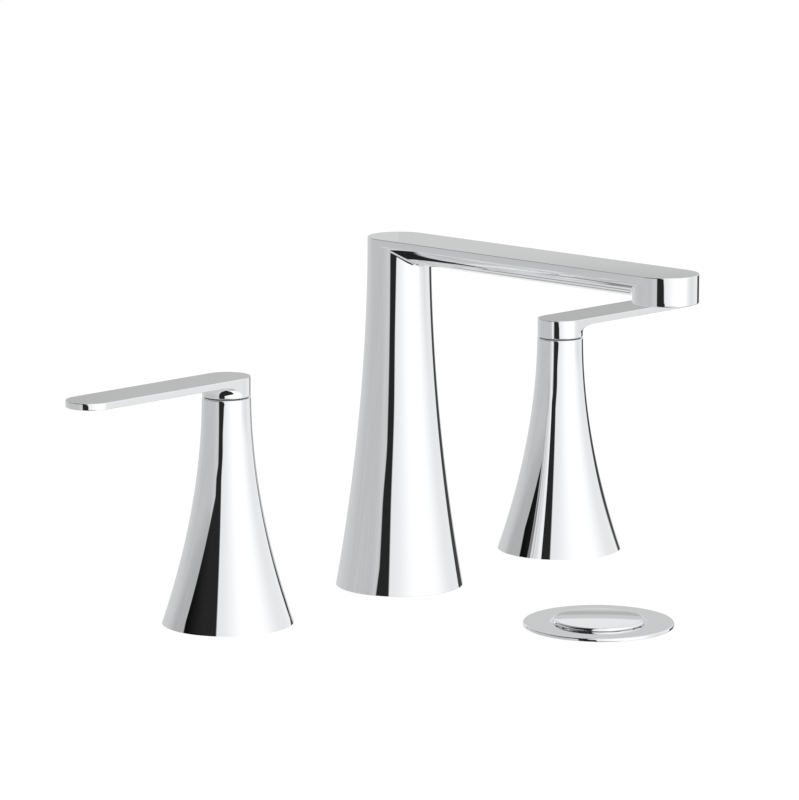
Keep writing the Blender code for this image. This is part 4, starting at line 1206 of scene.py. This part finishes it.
def honeycomb(name, radius, pitch, wall, low, high):
    """Hexagonal cells side by side over a disc."""
    sizes = {"Radius": radius, "Pitch": pitch, "Wall": wall, "Depth": high - low}
    plan = Plan(name, {**sizes, "Sides": 6, "Rows": 15})
    rows = plan.size("Rows")
    row = (plan.add("GeometryNodeInputIndex").out() / rows).math("FLOOR")
    column = plan.add("GeometryNodeInputIndex").out() - row * rows
    middle = (rows - 1.0) * 0.5
    x = (column - middle + row.math("MODULO", 2.0) * 0.5) * plan.size("Pitch")
    y = (row - middle) * plan.size("Pitch") * math.sin(math.tau / 6)
    place = plan.add("ShaderNodeCombineXYZ", {}, (x, y, 0.0)).out()
    points = plan.add("GeometryNodePoints", {}, {"Count": rows * rows, "Position": place}).out()
    far = (x * x + y * y) ** 0.5
    outside = far.math("GREATER_THAN", plan.size("Radius") - plan.size("Pitch") * 0.45)
    points = plan.add("GeometryNodeDeleteGeometry", {"domain": "POINT"}, (points, outside)).out()
    corner = plan.size("Pitch") / math.sqrt(3) - plan.size("Wall") * 0.62
    ring = {"Resolution": plan.size("Sides"), "Radius": corner}
    cell = plan.add("GeometryNodeCurvePrimitiveCircle", {"mode": "RADIUS"}, ring).out()
    cell = plan.add("GeometryNodeSetCurveNormal", {"mode": "Z_UP"}, {"Curve": cell}).out()
    strip = {"Width": plan.size("Wall"), "Height": plan.size("Depth")}
    section = plan.add("GeometryNodeCurvePrimitiveQuadrilateral", {"mode": "RECTANGLE"}, strip).out()
    tube = plan.add("GeometryNodeCurveToMesh", {}, {"Curve": cell, "Profile Curve": section}).out()
    turned = {"Points": points, "Instance": tube, "Rotation": (0.0, 0.0, math.tau / 12)}
    cells = plan.add("GeometryNodeInstanceOnPoints", {}, turned).out()
    return lifted(plan.grow(cells, "plastic"), (low + high) / 2)


class FAUCET_OT_outlet(bpy.types.Operator):
    """Makes the aerator's housing and honeycomb, and the drain's tailpiece"""

    bl_idname = "faucet.outlet"
    bl_label = "Aerator and tailpiece"

    def execute(self, context):
        turned_ring("aerator_housing", "aerator_shell", "chrome", 0.35 * MM)
        low, high = levels("aerator_insert")
        outer = reach("aerator_insert")
        inner = outer - 0.9 * MM
        cell_pitch = 1.5 * MM
        cell_wall = 0.16 * MM
        set_back = 0.15 * MM
        bm = honeycomb("honeycomb", inner, cell_pitch, cell_wall, low + set_back, high)
        spin(bm, rounded([(inner, low, 0.1 * MM), (outer, low, 0.3 * MM), (outer, high), (inner, high)]), 64)
        standing(bm, centre("aerator_insert"))
        dressed(solid("aerator_honeycomb", bm), "plastic", "root", "aerator_insert")
        turned_ring("tailpiece", "waste_tube", "chrome", 0.5 * MM)
        return {"FINISHED"}


# Finishes on the nodes that stay as they are


class FAUCET_OT_finishes(bpy.types.Operator):
    """Gives the nodes that keep their shape their finishes"""

    bl_idname = "faucet.finishes"
    bl_label = "Finishes of the other pieces"

    def execute(self, context):
        for part in frame["record"]["subparts"]:
            node = frame["nodes"][part["node"]]
            if not node.hide_render:
                node.data.materials.clear()
                node.data.materials.append(finish(part["material_slot"]))
        return {"FINISHED"}


# The studio


def zone(place, start, full, fade, end):
    """A soft stripe: 0 below start, 1 from full to fade, 0 past end."""
    return place.between(start, full) * (1.0 - place.between(fade, end))


def studio_shade(maker, way):
    """Brightness of the room that metal sees, by direction: white, grey, and a dark screen between the two.

    The angle is 0 at the camera's side and grows towards the picture's right. Angles are in degrees.
    """
    parts = maker.add("ShaderNodeSeparateXYZ", {}, (way,))
    x, y, z = parts.out(0), parts.out(1), parts.out(2)
    camera_side = math.radians(224.0)
    front = x * math.cos(camera_side) + y * math.sin(camera_side)
    right = y * math.cos(camera_side) - x * math.sin(camera_side)
    angle = right.math("ARCTAN2", front) * (180 / math.pi)
    climb = z.math("ARCSINE") * (180 / math.pi)

    # The white half: a bright box, a dip low down, a dimmer far wall and a low dark screen on it
    bright_box = angle.between(-15.0, 35.0) * (1.0 - angle.between(60.0, 110.0))
    white = bright_box * 0.25 + angle.between(126.0, 136.0) * 0.05 + 0.92
    white = white - zone(angle, 70.0, 82.0, 98.0, 112.0) * climb.between(-4.0, -8.0) * 0.12
    far_wall = angle.between(138.0, 160.0)
    white = white * (1.0 - far_wall) + far_wall * 0.64
    right_screen = zone(angle, 133.0, 135.5, 154.0, 160.0) * climb.between(0.8, -1.8)
    white = white * (1.0 - right_screen) + right_screen * 0.06

    # The grey half: streaks, a dim patch, two thin lines low down and a dark arc above
    stretched = maker.add("ShaderNodeCombineXYZ", {}, (angle * 0.4, climb * 0.25, 0.0)).out()
    streaks = maker.noise(stretched, 1.0, 2.0)
    grey = angle.between(-100.0, -145.0) * 0.09 + angle.between(-58.0, -42.0) * 0.07 + streaks * 0.16 + 0.51
    grey = grey - zone(climb, 3.0, 9.0, 15.0, 20.0) * zone(angle, -130.0, -115.0, -60.0, -45.0) * 0.1
    grey = grey + climb.between(-14.0, -36.0) * 0.07
    lines = zone(angle, -160.5, -159.0, -157.0, -155.5) + zone(angle, -170.0, -168.5, -166.5, -165.0)
    grey = grey - lines * climb.between(-33.0, -37.0) * 0.4
    arc = climb.between(17.0, 26.0) * zone(angle, -172.0, -158.0, -85.0, -75.0)
    grey = grey * (1.0 - arc) + arc * 0.26

    # The dark screen between the two halves, its edges bent where the castings spread
    left_edge = climb.between(0.5, 3.0) * -6.0 + (climb - 5.2).most(0.0).least(8.8) * -5.0 - 33.0
    right_edge = climb.between(4.0, -1.0) * 4.5 + climb.between(-3.0, -9.0) * 5.0 - 19.0
    right_edge = right_edge + climb.between(-8.5, -10.0) * 4.0 + climb.between(-12.0, -34.0) * 45.0
    past_left = (angle - left_edge).between(-1.5, 1.5)
    past_right = (angle - right_edge).between(-1.5, 1.5)
    screen = angle.between(-85.0, -40.0) * 0.018 + 0.004
    shade = grey * (1.0 - past_left) + screen * past_left
    shade = shade * (1.0 - past_right) + white * past_right
    # Behind the set: a dim line, which the flat tops mirror, and brighter bands above and below it
    behind = angle.math("ABSOLUTE").between(160.0, 168.0)
    shade = shade - behind * zone(climb, 8.5, 9.0, 11.0, 12.0) * 0.15
    return shade + behind * (climb.between(13.5, 14.6) + zone(climb, -33.5, -28.5, 5.5, 7.2)) * 0.24


def studio_world():
    """White to the camera; metal sees the room of studio_shade."""
    world = bpy.data.worlds.new("studio")
    world.use_nodes = True
    world.node_tree.nodes.clear()
    maker = Maker(world.node_tree)
    shade = studio_shade(maker, maker.add("ShaderNodeTexCoord").out("Generated"))
    paths = maker.add("ShaderNodeLightPath")
    mirror = paths.out("Is Glossy Ray").most(paths.out("Is Transmission Ray"))
    strength = mirror * (shade - 0.9) + 0.9
    strength = paths.out("Is Camera Ray") * (1.0 - strength) + strength
    background = maker.add("ShaderNodeBackground", {}, {"Color": (1, 1, 1), "Strength": strength}).out()
    maker.add("ShaderNodeOutputWorld", {}, {"Surface": background})
    return world


def pale_floor():
    """White to the camera with the object's soft shadow, open to mirror rays, and clear from below."""
    material = bpy.data.materials.new("pale_floor")
    material.use_nodes = True
    material.node_tree.nodes.clear()
    maker = Maker(material.node_tree)
    paths = maker.add("ShaderNodeLightPath")
    below = maker.add("ShaderNodeNewGeometry").out("Backfacing")
    glow = maker.add("ShaderNodeEmission", {}, {"Color": (1, 1, 1), "Strength": 0.93}).out()
    paint = maker.add("ShaderNodeBsdfDiffuse", {}, {"Color": (0.1, 0.1, 0.1)}).out()
    lit = maker.add("ShaderNodeAddShader", {}, (glow, paint)).out()
    plain = maker.add("ShaderNodeBsdfDiffuse", {}, {"Color": (0.9, 0.9, 0.9)}).out()
    top = maker.add("ShaderNodeMixShader", {}, (paths.out("Is Camera Ray"), plain, lit)).out()
    # Mirror rays go on into the room below, past the pieces under the deck.
    deep = maker.add("ShaderNodeCombineXYZ", {}, (0.0, 0.0, -50.0)).out()
    away = maker.add("ShaderNodeBsdfRayPortal", {}, {"Color": (1, 1, 1), "Position": deep}).out()
    # Rays mirrored twice, from the arm's belly by way of the column, find a glowing grey patch on the floor
    # near the spout, with a dark arc and a dark line on it: painted reflections of dark things, which only
    # the metal shows.
    place = maker.add("ShaderNodeTexCoord").out("Object")
    parts = maker.add("ShaderNodeSeparateXYZ", {}, (place,))
    x, y = parts.out(0) + 0.014, parts.out(1) + 0.014
    far = (x * x + y * y) ** 0.5
    # The arc and the line are painted dark reflections, and the streaked grey around them is painted glow;
    # the camera never sees them.
    arc = (far - x * 0.03).between(0.133, 0.137) * (far + x * 0.08).between(0.156, 0.148)
    arc = arc * y.between(0.10, 0.08)
    line = zone(x, 0.032, 0.040, 0.054, 0.062) * far.between(0.105, 0.095)
    shade = maker.noise(place, 40.0, 2.0).between(0.35, 0.65) * 0.3 + 0.62
    shade = shade * (1.0 - line * 0.6)
    shade = shade * (1.0 - arc) + arc * 0.02
    grey = maker.add("ShaderNodeEmission", {}, {"Color": (1, 1, 1), "Strength": shade}).out()
    twice = paths.out("Glossy Depth").between(1.2, 1.8) * far.between(0.3, 0.28)
    away = maker.add("ShaderNodeMixShader", {}, (twice, away, grey)).out()
    mirror = paths.out("Is Glossy Ray").most(paths.out("Is Transmission Ray"))
    top = maker.add("ShaderNodeMixShader", {}, (mirror, top, away)).out()
    clear = maker.add("ShaderNodeBsdfTransparent").out()
    both = maker.add("ShaderNodeMixShader", {}, (below, top, clear)).out()
    maker.add("ShaderNodeOutputMaterial", {}, {"Surface": both})
    return material


class FAUCET_OT_stage(bpy.types.Operator):
    """Makes the floor, the light and the camera"""

    bl_idname = "faucet.stage"
    bl_label = "Floor, light and camera"

    def execute(self, context):
        s = context.scene.faucet.studio
        scene = context.scene
        scene.world = studio_world()

        bm = bmesh.new()
        half = s.floor_size / 2
        level = -0.2 * MM
        cover(bm, [(-half, -half, level), (half, -half, level), (half, half, level), (-half, half, level)])
        mesh = bpy.data.meshes.new("floor")
        bm.to_mesh(mesh)
        bm.free()
        floor = bpy.data.objects.new("floor", mesh)
        scene.collection.objects.link(floor)
        mesh.materials.append(pale_floor())

        lamp_data = bpy.data.lights.new("soft_box", "AREA")
        lamp_data.shape = "SQUARE"
        lamp_data.size = s.lamp_size
        lamp_data.energy = s.lamp_power
        lamp = bpy.data.objects.new("soft_box", lamp_data)
        lamp.location = (0.5, -0.6, 1.5)
        lamp.rotation_euler = (Vector((0, -0.05, 0)) - lamp.location).to_track_quat("-Z", "Y").to_euler()
        lamp.visible_glossy = False
        scene.collection.objects.link(lamp)

        camera_data = bpy.data.cameras.new("camera")
        camera_data.lens = s.camera_lens
        camera_data.sensor_width = 36.0
        camera_data.clip_end = 20.0
        camera = bpy.data.objects.new("camera", camera_data)
        heading, dip = s.camera_heading, s.camera_dip
        level_way = Vector((math.sin(heading), math.cos(heading), 0))
        forward = level_way * math.cos(dip) + Vector((0, 0, -math.sin(dip)))
        camera.location = s.camera_place
        camera.rotation_euler = forward.to_track_quat("-Z", "Y").to_euler()
        scene.collection.objects.link(camera)
        scene.camera = camera
        scene.view_settings.view_transform = "Standard"
        # The photograph's column and drain show no handle in them.
        for piece in bpy.data.objects:
            if piece.name.startswith(SIDES):
                piece.visible_glossy = False
        return {"FINISHED"}


class FAUCET_PT_pieces(bpy.types.Panel):
    """Lists what makes the set"""

    bl_idname = "FAUCET_PT_pieces"
    bl_label = "Faucet"
    bl_space_type = "VIEW_3D"
    bl_region_type = "UI"
    bl_category = "Faucet"

    def draw(self, context):
        for operator in OPERATORS:
            self.layout.operator(operator.bl_idname)
        settings = context.scene.faucet
        for part in settings.__annotations__:
            group = getattr(settings, part)
            box = self.layout.box()
            for name in group.__annotations__:
                box.prop(group, name)


OPERATORS = (
    FAUCET_OT_spout,
    FAUCET_OT_bells,
    FAUCET_OT_levers,
    FAUCET_OT_drain_top,
    FAUCET_OT_rings,
    FAUCET_OT_nuts,
    FAUCET_OT_threads,
    FAUCET_OT_outlet,
    FAUCET_OT_finishes,
    FAUCET_OT_stage,
)
GROUPS = (SpoutSizes, HandleSizes, DrainSizes, ThreadSizes, Finishes, Studio, FaucetSettings)


def register():
    for kind in (*GROUPS, *OPERATORS, FAUCET_PT_pieces):
        bpy.utils.register_class(kind)
    bpy.types.Scene.faucet = bpy.props.PointerProperty(type=FaucetSettings)


def unregister():
    del bpy.types.Scene.faucet
    for kind in reversed((*GROUPS, *OPERATORS, FAUCET_PT_pieces)):
        bpy.utils.unregister_class(kind)


def main():
    register()
    bpy.ops.faucet.spout()
    bpy.ops.faucet.bells()
    bpy.ops.faucet.levers()
    bpy.ops.faucet.drain_top()
    bpy.ops.faucet.rings()
    bpy.ops.faucet.nuts()
    bpy.ops.faucet.threads()
    bpy.ops.faucet.outlet()
    bpy.ops.faucet.finishes()
    bpy.ops.faucet.stage()


if __name__ == "__main__":
    main()
